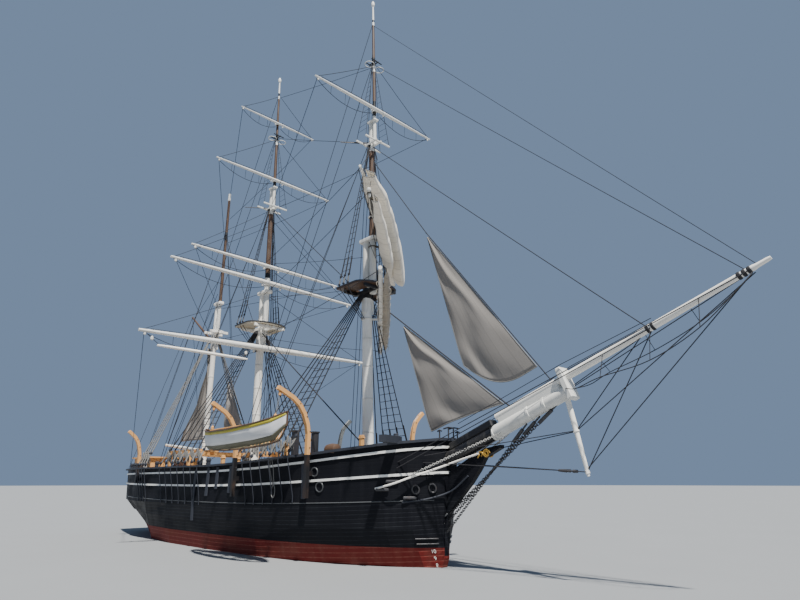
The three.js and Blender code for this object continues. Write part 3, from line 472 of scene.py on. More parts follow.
@dataclass(frozen=True)
class Brick(Finish):
    """Sooty bricks in lime mortar."""

    color: Row = (0.23, 0.07, 0.045)

    def mix(self, graph: Graph) -> bpy.types.Material:
        """Builds courses on every upright face."""
        place = graph.place()
        x, y, z = graph.axes(place)
        across = graph.node("ShaderNodeCombineXYZ", inputs={0: x + y, 1: z, 2: 0.0})
        sizes = {"Vector": across, "Scale": 1.0, "Mortar Size": 0.012, "Brick Width": 0.24, "Row Height": 0.085,
                 "Color1": (*self.color, 1.0), "Color2": (0.15, 0.05, 0.035, 1.0),
                 "Mortar": (0.32, 0.30, 0.27, 1.0)}
        bricks = graph.node("ShaderNodeTexBrick", inputs=sizes)
        mortar = Signal(graph, bricks.socket.node.outputs[1])
        soot = graph.noise(place, 0.9, 5.0).above(0.4, 0.7)
        color = graph.blend(bricks, (0.03, 0.027, 0.025), soot * 0.55)
        return graph.finish(color, 0.9, 1.0 - mortar + 0.2 * soot, 0.012, 0.8)


@dataclass(frozen=True)
class Gilding(Finish):
    """Old gold leaf over carving."""

    def mix(self, graph: Graph) -> bpy.types.Material:
        """Builds leaf that is rubbed dark in places."""
        place = graph.place()
        rubbed = graph.noise(place, 6.0, 5.0).above(0.45, 0.7)
        color = graph.blend(GOLD, (0.09, 0.05, 0.02), rubbed * 0.7)
        return graph.finish(color, 0.35 + 0.3 * rubbed, rubbed, 0.006, 0.5, Metallic=0.55)


@dataclass(frozen=True)
class Glass(Finish):
    """Dark panes."""

    def mix(self, graph: Graph) -> bpy.types.Material:
        """Builds glass that shows only its gloss."""
        waves = graph.noise(graph.place(), 3.0, 2.0)
        color = graph.blend((0.015, 0.02, 0.025), (0.035, 0.045, 0.05), waves)
        return graph.finish(color, 0.06, waves, 0.004, 0.1)


@dataclass(frozen=True)
class FloorPaint(Finish):
    """The studio's plain pale floor."""

    def mix(self, graph: Graph) -> bpy.types.Material:
        """Builds a nearly even tone."""
        clouds = graph.noise(graph.place(), 0.2, 2.0)
        return graph.finish(graph.blend((0.22, 0.23, 0.24), (0.235, 0.245, 0.255), clouds), 0.75)


BLACK_SIDE = HullPaint("black_side")
# The bottom's seams all lie below seams_below, so the painted seam highlight runs on every seam.
BOTTOM_PAINT = HullPaint("bottom_paint", RED, (0.20, 0.075, 0.055), 9.0, 0.22, 0.55, 0.7)
BLACK_PAINT = Paint("black_paint", SOFT_BLACK, (0.03, 0.03, 0.033), 0.5, 0.45, gloss=0.12)
WHITE_PAINT = Paint("white_paint", WHITE, GRIME, 0.4, 0.3)
STRIPE_PAINT = Paint("stripe_paint", WHITE, (0.22, 0.21, 0.2), 0.38, 0.55, (0.4, 0.4, 0.3))
# Painted shade: a dark tone for the white fore lower topsail yard, whose underside is seen in shadow.
PAINTED_SHADE_YARD = Paint("old_spar", (0.07, 0.064, 0.05), (0.05, 0.045, 0.035), 0.5, 0.6)
SPAR_WHITE = Paint("spar_white", OFF_WHITE, (0.24, 0.22, 0.19), 0.45, 0.4, (0.3, 0.3, 0.12))
BROWN_SPAR = Paint("brown_spar", SPAR_BROWN, (0.03, 0.02, 0.015), 0.4, 0.5)
BUFF_PAINT = Paint("buff_paint", BUFF, (0.2, 0.09, 0.03), 0.45, 0.35)
GREY_PAINT = Paint("grey_paint", (0.17, 0.18, 0.18), (0.06, 0.06, 0.06), 0.5, 0.4)
DARK_RED_PAINT = Paint("dark_red_paint", (0.16, 0.03, 0.02), (0.05, 0.02, 0.015), 0.5, 0.4)
RUDDER_PAINT = BandedPaint("rudder_paint", roughness=0.5, wear=0.5, stops=((-5.0, RED), (0.85, BLACK)))
# Painted highlight: a grey that stands for the light caught along the wale's edge.
PAINTED_HIGHLIGHT_GREY = Paint("worn_grey", (0.085, 0.09, 0.095), (0.02, 0.02, 0.02), 0.4, 0.6, (0.3, 0.3, 0.3))
WORN_IRON = Iron("worn_iron", (0.06, 0.064, 0.07), (0.08, 0.05, 0.04), 0.3, 0.3)
DAVIT_PAINT = BandedPaint("davit_paint", roughness=0.48, wear=0.35, grime=(0.2, 0.09, 0.03),
                          stops=((0.0, SOFT_BLACK), (4.95, BUFF)))
CREAM_PAINT = Paint("cream_paint", (0.42, 0.37, 0.28), (0.16, 0.13, 0.09), 0.5, 0.4)
BOAT_WHITE = Paint("boat_white", (0.62, 0.63, 0.64), (0.3, 0.3, 0.29), 0.4, 0.35, (0.12, 0.5, 0.5))
# Painted shade: a dark olive for the boat's lower strip, which is seen in shadow under her white side.
BOAT_PAINTED_SHADE = Paint("boat_olive", (0.10, 0.095, 0.06), (0.05, 0.05, 0.03), 0.5, 0.4)
BOAT_YELLOW = Paint("boat_yellow", (0.42, 0.36, 0.035), (0.2, 0.16, 0.03), 0.4, 0.4)
DECK = DeckPlanks("deck_planks")
BRIGHT_CANVAS = Canvas("bright_canvas", (0.78, 0.73, 0.63), (0.42, 0.38, 0.32), 0.6, 0.45, 0.25)
# Painted shade: a dark grey copy of the canvas for the staysails and the spanker, whose faces are seen in shade.
PAINTED_SHADE_CANVAS = Canvas("grey_canvas", (0.215, 0.20, 0.185), (0.135, 0.125, 0.115), 0.6, 0.5, 0.16)
# Painted shade: a dark copy of the canvas for the furled fore course, which lies in shadow.
PAINTED_SHADE_FURLED_CANVAS = Canvas("furled_canvas", (0.30, 0.27, 0.22), (0.15, 0.13, 0.11), 0.6, 0.6)
TARRED_ROPE = Cordage("tarred_rope")
MANILA = Cordage("manila", (0.33, 0.29, 0.22), (0.60, 0.57, 0.50), 20.0)
PALE_ROPE = Cordage("pale_rope", (0.26, 0.26, 0.25), (0.62, 0.61, 0.58), 20.0)
GREY_ROPE = Cordage("grey_rope", (0.10, 0.10, 0.10), (0.26, 0.26, 0.25), 20.0)
BLACK_IRON = Iron("black_iron")
GREY_IRON = Iron("grey_iron", (0.22, 0.23, 0.24), (0.12, 0.06, 0.035), 0.35, 0.7)
BRICK = Brick("brick")
GILT = Gilding("gilding")
GLASS = Glass("glass")
STUDIO_FLOOR = FloorPaint("studio_floor")


# Modelling tools


class Bench:
    """Blender's modelling tools, one method for each step of the work."""

    @staticmethod
    def clear() -> None:
        """Leaves edit mode and selects nothing."""
        if bpy.context.object and bpy.context.object.mode != "OBJECT":
            bpy.ops.object.mode_set(mode="OBJECT")
        bpy.ops.object.select_all(action="DESELECT")

    @staticmethod
    def pick(*shapes: Shape) -> None:
        """Selects these objects alone, the first one active."""
        Bench.clear()
        for shape in shapes:
            shape.select_set(True)
        bpy.context.view_layer.objects.active = shapes[0]

    @staticmethod
    def edit(shape: Shape, select: str = "DESELECT") -> None:
        """Opens an object in edit mode with all or nothing of it selected."""
        Bench.pick(shape)
        bpy.ops.object.mode_set(mode="EDIT")
        bpy.ops.mesh.select_all(action=select)

    @staticmethod
    def joined(shapes: Iterable[Shape]) -> Shape:
        """Several objects as one."""
        shapes = list(shapes)
        Bench.pick(*shapes)
        if len(shapes) > 1:
            bpy.ops.object.join()
        return bpy.context.object

    @staticmethod
    def placed(shape: Shape, middle: Row = (0, 0, 0), turn: Row = (0, 0, 0)) -> Shape:
        """Turns an object about its origin, moves it and applies both to its mesh."""
        shape.data.transform(Matrix.Translation(middle) @ Euler(turn).to_matrix().to_4x4())
        return shape

    @staticmethod
    def aimed(shape: Shape, start: Row, end: Row) -> Shape:
        """Turns an object that was built up the Z axis so that it runs from start towards end."""
        turn = (Vector(end) - Vector(start)).to_track_quat("Z", "Y").to_matrix().to_4x4()
        shape.data.transform(Matrix.Translation(start) @ turn)
        return shape

    @staticmethod
    def block(middle: Row, size: Row, turn: Row = (0, 0, 0), bevel: float = 0.01) -> Shape:
        """A squared timber or plate with its edges taken off.

        Args:
            middle: Its middle.
            size: Its length along each axis before it is turned.
            turn: Euler angles about its middle.
            bevel: The width taken off each edge.

        Returns:
            The object.
        """
        Bench.clear()
        bpy.ops.mesh.primitive_cube_add(size=1)
        Bench.edit(bpy.context.object, "SELECT")
        bpy.ops.transform.resize(value=tuple(size), center_override=(0, 0, 0))
        if bevel:
            bpy.ops.mesh.bevel(offset=min(bevel, 0.3 * min(size)), segments=1, affect="EDGES")
        bpy.ops.object.mode_set(mode="OBJECT")
        return Bench.placed(bpy.context.object, middle, turn)

    @staticmethod
    def turned(start: Row, end: Row, rings: Sequence[tuple[float, float]], sides: int = 16) -> Shape:
        """A turned spar or fitting, extruded ring by ring.

        Args:
            start: Where its axis starts.
            end: A point that its axis runs towards.
            rings: Distance along the axis and radius at each ring.
            sides: How many sides it has.

        Returns:
            The object.
        """
        Bench.clear()
        bpy.ops.mesh.primitive_circle_add(vertices=sides, radius=rings[0][1], fill_type="NGON")
        shape = bpy.context.object
        Bench.edit(shape, "SELECT")
        bpy.ops.transform.translate(value=(0, 0, rings[0][0]))
        for (before, thin), (along, radius) in pairwise(rings):
            bpy.ops.mesh.extrude_region_move(TRANSFORM_OT_translate={"value": (0, 0, along - before)})
            grow = radius / thin
            bpy.ops.transform.resize(value=(grow, grow, 1), center_override=(0, 0, along))
        bpy.ops.mesh.select_all(action="SELECT")
        bpy.ops.mesh.normals_make_consistent(inside=False)
        bpy.ops.object.mode_set(mode="OBJECT")
        return Bench.aimed(shape, start, end)

    @staticmethod
    def band(start: Vector, way: Vector, radii: Row, wide: float, sides: int, edge: float = 0.01) -> Shape:
        """A band or a seizing round a spar.

        Args:
            start: The middle of its first edge.
            way: The way that the spar runs.
            radii: Its radius at its edges and on its face.
            wide: Where its face ends.
            sides: How many sides it has.
            edge: How long the slope at each edge is.

        Returns:
            The object.
        """
        base, face = radii
        rings = [(0, base), (edge, face), (wide, face), (wide + edge, base)]
        return Bench.turned(start, start + way, rings, sides)

    @staticmethod
    def spar(start: Row, end: Row, taper: Sequence[tuple[float, float]], sides: int = 20) -> Shape:
        """A round spar between two points, its diameters given as (part of the length, diameter)."""
        length = (Vector(end) - Vector(start)).length
        return Bench.turned(start, end, [(part * length, size / 2) for part, size in taper], sides)

    @staticmethod
    def rod(start: Row, end: Row, thick: float, sides: int = 8) -> Shape:
        """A plain round rod."""
        return Bench.spar(start, end, [(0, thick), (1, thick)], sides)

    @staticmethod
    def lines(runs: Iterable[Line], thick: float, round_steps: int = 0, closed: bool = False) -> Shape:
        """Ropes or rods along runs of points, as one mesh.

        Args:
            runs: The points of each.
            thick: Their diameter.
            round_steps: 0 for four sides, and more for rounder ones.
            closed: Whether each run is a loop.

        Returns:
            The object.
        """
        curve = bpy.data.curves.new("line", "CURVE")
        curve.dimensions = "3D"
        curve.bevel_depth = thick / 2
        curve.bevel_resolution = round_steps
        curve.use_fill_caps = not closed
        for run in runs:
            spline = curve.splines.new("POLY")
            spline.points.add(len(run) - 1)
            for point, where in zip(spline.points, run):
                point.co = (*where, 1.0)
            spline.use_cyclic_u = closed
        shape = bpy.data.objects.new("line", curve)
        bpy.context.collection.objects.link(shape)
        Bench.pick(shape)
        bpy.ops.object.convert(target="MESH")
        return bpy.context.object

    @staticmethod
    def grid(columns: int, rows: int) -> Shape:
        """A flat grid one metre wide, whose points are moved later."""
        Bench.clear()
        bpy.ops.mesh.primitive_grid_add(x_subdivisions=columns, y_subdivisions=rows, size=1)
        return bpy.context.object

    @staticmethod
    def thickened(shape: Shape, thick: float) -> Shape:
        """Gives a sheet its thickness, half of it to each side."""
        Bench.pick(shape)
        skin = shape.modifiers.new("skin", "SOLIDIFY")
        skin.thickness = thick
        skin.offset = 0
        bpy.ops.object.modifier_apply(modifier="skin")
        return shape

    @staticmethod
    def copies(pattern: Shape, places: Iterable[Matrix]) -> Shape:
        """Copies of one fitting, joined; the pattern itself is used up."""
        made = []
        for place in places:
            twin = pattern.copy()
            twin.data = pattern.data.copy()
            twin.data.transform(place)
            bpy.context.collection.objects.link(twin)
            made.append(twin)
        bpy.data.objects.remove(pattern)
        return Bench.joined(made)

    @staticmethod
    def soften(shape: Shape, degrees: float = 35.0) -> Shape:
        """Shades an object smooth up to an edge angle."""
        Bench.pick(shape)
        bpy.ops.object.shade_smooth_by_angle(angle=math.radians(degrees))
        return shape


def fitted(shape: Shape, name: str, finish: Finish, body: str = SHIP, slot: str = "") -> Shape:
    """Names a finished shape, brings it to the model's scale, dresses it and sets it on its body.

    Args:
        shape: The object, in full-size metres.
        name: The piece's name.
        finish: Its surface.
        body: The body that it moves with, or nothing.
        slot: A material slot's name; not used.

    Returns:
        The same object.
    """
    shape.name = name
    shape.data.name = name
    shape.data.transform(Matrix.Scale(MODEL_SCALE, 4))
    shape.data.materials.clear()
    shape.data.materials.append(finish.material())
    if body:
        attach(shape, body)
    LOG.info("%s: %d faces", name, len(shape.data.polygons))
    return shape


def round_angles(count: int) -> list[float]:
    """Angles evenly round a circle."""
    return [math.tau * i / count for i in range(count)]


def oval(middle: Row, ahead: Row, up: Row, count: int) -> list[Vector]:
    """Points round an oval, from its middle and its two half axes."""
    a, b, c = Vector(middle), Vector(ahead), Vector(up)
    return [a + b * math.cos(angle) + c * math.sin(angle) for angle in round_angles(count)]


def between(rows: Sequence[Row], at: float, ease: bool = False) -> Row:
    """The values of a table at a place between its rows.

    Args:
        rows: Each row's place and its values, in order of place.
        at: The place.
        ease: Whether the values run smoothly from row to row.

    Returns:
        The values; past the last row, that row's own.
    """
    for (low, *before), (high, *after) in pairwise(rows):
        if at <= high:
            t = (at - low) / (high - low)
            t = t * t * (3 - 2 * t) if ease else t
            return [a + (b - a) * t for a, b in zip(before, after)]
    return rows[-1][1:]


def sagging(start: Row, end: Row, drop: float, steps: int = 8) -> list[Vector]:
    """Points of a line that hangs a little between its two ends."""
    a, b = Vector(start), Vector(end)
    parts = [i / steps for i in range(steps + 1)]
    return [a.lerp(b, t) - Vector((0, 0, 4 * drop * t * (1 - t))) for t in parts]


def smooth(points: Sequence[Vector], steps: int) -> list[Vector]:
    """A smooth run through the points, by Catmull-Rom."""
    padded = [points[0] * 2 - points[1], *points, points[-1] * 2 - points[-2]]
    run = []
    for i in range(1, len(padded) - 2):
        a, b, c, d = padded[i - 1:i + 3]
        for step in range(steps):
            t = step / steps
            run.append(0.5 * ((2 * b) + (c - a) * t + (2 * a - 5 * b + 4 * c - d) * t ** 2
                              + (3 * b - a - 3 * c + d) * t ** 3))
    return [*run, points[-1].copy()]


def tarred(name: str, runs: Sequence[Line], thick: float, body: str = SHIP, slot: str = "") -> Shape:
    """Tarred ropes along runs of points, as one piece."""
    return fitted(Bench.lines(runs, thick, 1), name, TARRED_ROPE, body, slot)


def bending_line(name: str, body: str, start: Row, end: Row, drop: float, thick: float) -> None:
    """A sagging line from a spar to the ship, set on no body."""
    rope = tarred(name, [sagging(start, end, drop, 14)], thick, "")
    Vector(start) * MODEL_SCALE
    Vector(end) * MODEL_SCALE
    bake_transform(rope)


# The hull's lines, as the solids have them

DECK_Z, BOW_SHEER, STERN_SHEER = 3.42, 0.62, 0.1
BULWARK, FORECASTLE_RISE, RAIL_THICK = 1.12, 0.35, 0.12
CHANNEL_REACH = 0.5


def sheer(x: float, bow: float, stern: float) -> float:
    """The rise of a line at x, towards the bow or the stern."""
    return (bow if x > 0 else stern) * (x / HALF_LENGTH) ** 2


def deck_z(x: float) -> float:
    """The height of the deck's side."""
    return DECK_Z + sheer(x, BOW_SHEER, STERN_SHEER)


def rail_z(x: float) -> float:
    """The height of the bulwark's top."""
    return deck_z(x) + BULWARK + sheer(x, FORECASTLE_RISE, -0.1)


class HullSide:
    """The outside of the hull's solids, which fittings are laid against."""

    NODES = ("hull_bottom", "hull_topsides", "bulwark")
    CLEAR = 20.0  # a distance well outside the side, where a ray starts

    def __init__(self) -> None:
        """Takes the solids' faces."""
        graph = bpy.context.evaluated_depsgraph_get()
        self.trees = [BVHTree.FromObject(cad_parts[name], graph) for name in self.NODES]

    def at(self, x: float, z: float, side: Side, out: float = 0.0) -> Vector:
        """A point on the hull's side.

        Args:
            x: Distance forward.
            z: Height.
            side: Which side.
            out: How far it stands out from the planks.

        Returns:
            The point.
        """
        far = Vector((x, side.value * self.CLEAR, z)) * MODEL_SCALE
        inward = Vector((0, -side.value, 0))
        hits = [tree.ray_cast(far, inward) for tree in self.trees]
        point, normal = max(((hit[0], hit[1]) for hit in hits if hit[0]), key=lambda hit: side.value * hit[0].y)
        return point / MODEL_SCALE + normal * out

    def channel(self, x: float, side: Side) -> Vector:
        """The outer edge of a channel, where a lower deadeye stands."""
        edge = self.at(x, rail_z(x) - 0.02, side)
        return Vector((x, edge.y + side.value * (CHANNEL_REACH - 0.07), rail_z(x) + RAIL_THICK))


# The rig's plan

HEEL_Z = 3.6
TOPGALLANT_STEP = 0.3
LOWER_TAPER = ((0, 1), (0.72, 0.88), (0.73, 0.95), (0.78, 0.78), (1, 0.7))
TOPMAST_TAPER = ((0, 1), (0.8, 0.82), (1, 0.7))
TOPGALLANT_TAPER = ((0, 0.23), (0.55, 0.19), (0.82, 0.15), (0.97, 0.09), (0.972, 0.2), (0.985, 0.24), (1, 0.14))


@dataclass(frozen=True)
class SparPlan:
    """A spar of a mast: how far it is stepped ahead, its ends and its diameters."""

    step: float
    low: float
    high: float
    taper: tuple[tuple[float, float], ...]

    def radius(self, z: float) -> float:
        """Its radius at a height."""
        return between(self.taper, (z - self.low) / (self.high - self.low))[0] / 2


@dataclass(frozen=True)
class MastPlan:
    """One mast: where it stands and the heights of its fittings."""

    name: str
    x: float
    rake: float
    foot_z: float
    top_z: float
    cap_z: float
    cross_z: float
    topmast_head_z: float
    hoops_z: float
    truck_z: float
    thick: float
    topmast_thick: float
    step: float
    bearer: float

    def at(self, step: float, z: float, y: float = 0.0, ahead: float = 0.0) -> Vector:
        """A point at a height on the line of one of its spars, or ahead of it."""
        return Vector((self.x + step + ahead - self.rake * (z - HEEL_Z), y, z))

    @property
    def turn(self) -> Row:
        """The turn that leans a fitting aft with the mast."""
        return (0, -self.rake, 0)

    @property
    def up(self) -> Vector:
        """The way that the mast rises."""
        return Vector((-self.rake, 0, 1))

    @property
    def lower(self) -> SparPlan:
        """The lower mast."""
        taper = tuple((part, size * self.thick) for part, size in LOWER_TAPER)
        return SparPlan(0.0, self.foot_z, self.cap_z + 0.1, taper)

    @property
    def topmast(self) -> SparPlan:
        """The topmast."""
        taper = tuple((part, size * self.topmast_thick) for part, size in TOPMAST_TAPER)
        return SparPlan(self.step, self.top_z - 0.25, self.topmast_head_z, taper)

    @property
    def topgallant(self) -> SparPlan:
        """The topgallant mast."""
        return SparPlan(self.step + TOPGALLANT_STEP, self.cross_z - 0.2, self.truck_z, TOPGALLANT_TAPER)

    @property
    def top_half(self) -> float:
        """Half the top's width."""
        return self.bearer * 1.45 / 2


FORE = MastPlan("fore", 10.4, 0.034, 3.5, 14.3, 17.45, 23.95, 25.5, 29.9, 34.9, 0.62, 0.4, 0.52, 2.1)
MAIN = MastPlan("main", -1.0, 0.026, 3.4, 14.1, 16.7, 23.35, 24.95, 29.4, 34.8, 0.58, 0.4, 0.5, 2.1)
MIZZEN = MastPlan("mizzen", -8.05, 0.0, 3.4, 15.0, 17.3, 23.0, 26.9, 26.9, 26.9, 0.44, 0.27, 0.38, 1.3)
MASTS = (FORE, MAIN, MIZZEN)


class Spars:
    """The masts with their caps, tops and crosstrees."""

    # Each colour starts at its height.
    POLE_BANDS = {
        "fore": ((20.0, OFF_WHITE), (25.8, BLACK), (26.85, SPAR_BROWN), (29.1, WHITE), (29.6, BLACK),
                 (30.2, SPAR_BROWN), (32.87, WHITE), (33.12, BLACK), (33.28, WHITE)),
        "main": ((20.0, OFF_WHITE), (24.95, BLACK), (25.5, SPAR_BROWN), (28.6, WHITE), (28.98, BLACK),
                 (29.6, SPAR_BROWN), (32.8, WHITE), (33.09, BLACK), (33.28, WHITE)),
    }
    FORE_BANDS = ((0.0, WHITE), (13.75, SOFT_BLACK), (14.4, OFF_WHITE))
    IRON_BANDS = (5.0, 6.2, 8.0, 9.8, 11.4)
    TOPMAST_BANDS = {
        "fore": ((10.0, OFF_WHITE), (17.45, SPAR_BROWN), (23.3, OFF_WHITE)),
        "main": ((10.0, OFF_WHITE), (17.7, BLACK), (18.1, SPAR_BROWN), (22.8, OFF_WHITE)),
        "mizzen": ((10.0, OFF_WHITE), (17.1, SPAR_BROWN), (22.64, BLACK), (23.3, SPAR_BROWN), (26.17, OFF_WHITE)),
    }

    def build(self) -> None:
        """Builds every mast."""
        for mast in MASTS:
            self.lower(mast)
            self.topmast(mast)
            if mast is not MIZZEN:
                self.topgallant(mast)
                self.top(mast)

    def shaft(self, mast: MastPlan, plan: SparPlan, sides: int = 28) -> Shape:
        """The round spar alone."""
        return Bench.spar(mast.at(plan.step, plan.low), mast.at(plan.step, plan.high), plan.taper, sides)

    def bands(self, mast: MastPlan, plan: SparPlan, heights: Iterable[float], high: float = 0.09) -> Shape:
        """Iron bands shrunk on to a spar."""
        rings = []
        for z in heights:
            radius = plan.radius(z) + 0.014
            start = mast.at(plan.step, z)
            rings.append(Bench.band(start, mast.up, (radius - 0.012, radius), high, 28))
        return Bench.joined(rings)

    def bearers(self, mast: MastPlan, step: float, z: float, sizes: tuple[float, float, float, float]) -> Shape:
        """Fore-and-aft trestletrees and crosstrees over them.

        Args:
            mast: The mast.
            step: Where their middle is ahead of the lower mast.
            z: Their upper face.
            sizes: Their length, width and distance from the middle plane, and their depth.

        Returns:
            The object.
        """
        long, wide, apart, deep = sizes
        x = mast.at(step, z).x
        turn = mast.turn
        timbers = [Bench.block((x, side.value * apart, z - deep / 2), (long, deep * 0.8, deep), turn, 0.02)
                   for side in Side]
        for ahead in (deep - long / 2, long / 2 - deep):
            middle = (x + ahead, 0, z - deep / 2 + mast.rake * ahead)
            timbers.append(Bench.block(middle, (deep * 0.8, wide, deep * 0.96), turn, 0.02))
        return Bench.joined(timbers)

    def lower(self, mast: MastPlan) -> None:
        """A lower mast with its trestletrees and cap."""
        turn = mast.turn
        cap_x = mast.at(mast.step / 2, mast.cap_z).x
        cap = Bench.block((cap_x, 0, mast.cap_z), (mast.step + mast.thick * 0.9 + 0.2, mast.thick * 0.95, 0.24),
                          turn, 0.05)
        sizes = (mast.bearer, mast.bearer * 1.15, mast.thick * 0.44, 0.2)
        shaft = self.shaft(mast, mast.lower, 32)
        cheeks = [Bench.block(mast.at(0.05, mast.top_z - 0.75, side.value * mast.thick * 0.42),
                              (0.4, 0.1, 1.3), turn, 0.03) for side in Side]
        body = Bench.joined([shaft, cap, self.bearers(mast, mast.step / 2, mast.top_z, sizes), *cheeks])
        paint = WHITE_PAINT
        if mast is FORE:
            paint = BandedPaint("fore_mast_paint", wear=0.35, stops=self.FORE_BANDS)
        piece = fitted(Bench.soften(body), f"{mast.name}_lower_mast_spar", paint, slot="white_paint")
        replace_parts(piece, f"{mast.name}_lower_mast")
        heights = [z for z in self.IRON_BANDS if z < mast.top_z - 2]
        iron = Bench.joined([self.bands(mast, mast.lower, heights), self.boot(mast)])
        fitted(Bench.soften(iron), f"{mast.name}_mast_bands", SPAR_WHITE, slot="white_paint")

    def boot(self, mast: MastPlan) -> Shape:
        """The canvas boot round a mast's heel."""
        heel = mast.at(0, deck_z(mast.x) + 0.06)
        rings = [(0, 0.62), (0.05, 0.62), (0.06, 0.56), (0.16, 0.54), (0.3, 0.36)]
        scaled = [(along, radius * mast.thick / 0.6) for along, radius in rings]
        return Bench.turned(heel, heel + mast.up, scaled, 28)

    def topmast(self, mast: MastPlan) -> None:
        """A topmast with its crosstrees and cap."""
        parts = [self.shaft(mast, mast.topmast, 24)]
        fid = mast.at(mast.step, mast.top_z + 0.08)
        parts.append(Bench.block(fid, (0.1, mast.thick + 0.28, 0.1), mast.turn))
        if mast is MIZZEN:
            parts.append(self.bands(mast, mast.topmast, (22.7, 23.1, 26.3), 0.16))
        else:
            middle = mast.step + TOPGALLANT_STEP / 2
            parts.append(self.bearers(mast, middle, mast.cross_z, (1.1, 2.0, 0.19, 0.12)))
            cap = mast.at(middle, mast.topmast_head_z)
            parts.append(Bench.block(cap, (0.72, 0.36, 0.16), mast.turn, 0.04))
        paint = BandedPaint(f"{mast.name}_topmast_paint", wear=0.4, stops=self.TOPMAST_BANDS[mast.name])
        piece = fitted(Bench.soften(Bench.joined(parts)), f"{mast.name}_topmast_spar", paint, slot="dark_spar")
        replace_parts(piece, f"{mast.name}_topmast")

    def topgallant(self, mast: MastPlan) -> None:
        """A topgallant mast with its truck, and the lookout's hoops at its head."""
        plan = mast.topgallant
        fid = Bench.block(mast.at(plan.step, mast.cross_z + 0.05), (0.07, 0.52, 0.07), mast.turn)
        rests = self.bearers(mast, plan.step, mast.hoops_z, (0.7, 0.9, 0.1, 0.08))
        body = Bench.joined([self.shaft(mast, plan), fid, rests])
        paint = BandedPaint(f"{mast.name}_pole_paint", wear=0.4, stops=self.POLE_BANDS[mast.name])
        piece = fitted(Bench.soften(body), f"{mast.name}_topgallant_spar", paint, slot="dark_spar")
        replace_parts(piece, f"{mast.name}_topgallant_mast")
        waist = mast.hoops_z - 0.35
        loops = []
        for side in Side:
            center = mast.at(plan.step, waist, side.value * 0.42, 0.05)
            loops.append(oval(center, (0.3, 0, 0), (0, 0.3, 0), 20))
        hoops = Bench.lines(loops, 0.045, 2, closed=True)
        stays = [[mast.at(plan.step, waist, s.value * 0.1), mast.at(plan.step, waist, s.value * 0.14)]
                 for s in Side]
        fitted(Bench.joined([hoops, Bench.lines(stays, 0.05, 1)]), f"{mast.name}_lookout_hoops", SPAR_WHITE)

    def top(self, mast: MastPlan) -> None:
        """The rim and the battens of a lower top, over its platform."""
        wide, long = mast.top_half, mast.bearer * 1.12
        middle = mast.at(mast.step / 2, mast.top_z + 0.12)
        arc = [(long * 0.15 + long * 0.35 * math.cos(a), wide * math.sin(a))
               for a in (math.pi * (i / 16 - 0.5) for i in range(17))]
        outline = [(-long / 2, -wide), *arc, (-long / 2, wide)]
        rim = Bench.lines([[middle + Vector((x, y, mast.rake * x)) for x, y in outline]], 0.09, 1, closed=True)
        battens = [Bench.block(middle + Vector((0.1, y, 0.0)), (long * 0.8, 0.07, 0.04), mast.turn)
                   for y in (-0.9, -0.6, 0.6, 0.9)]
        fitted(Bench.joined([rim, *battens]), f"{mast.name}_top_rim", BLACK_PAINT)


# Standing rigging


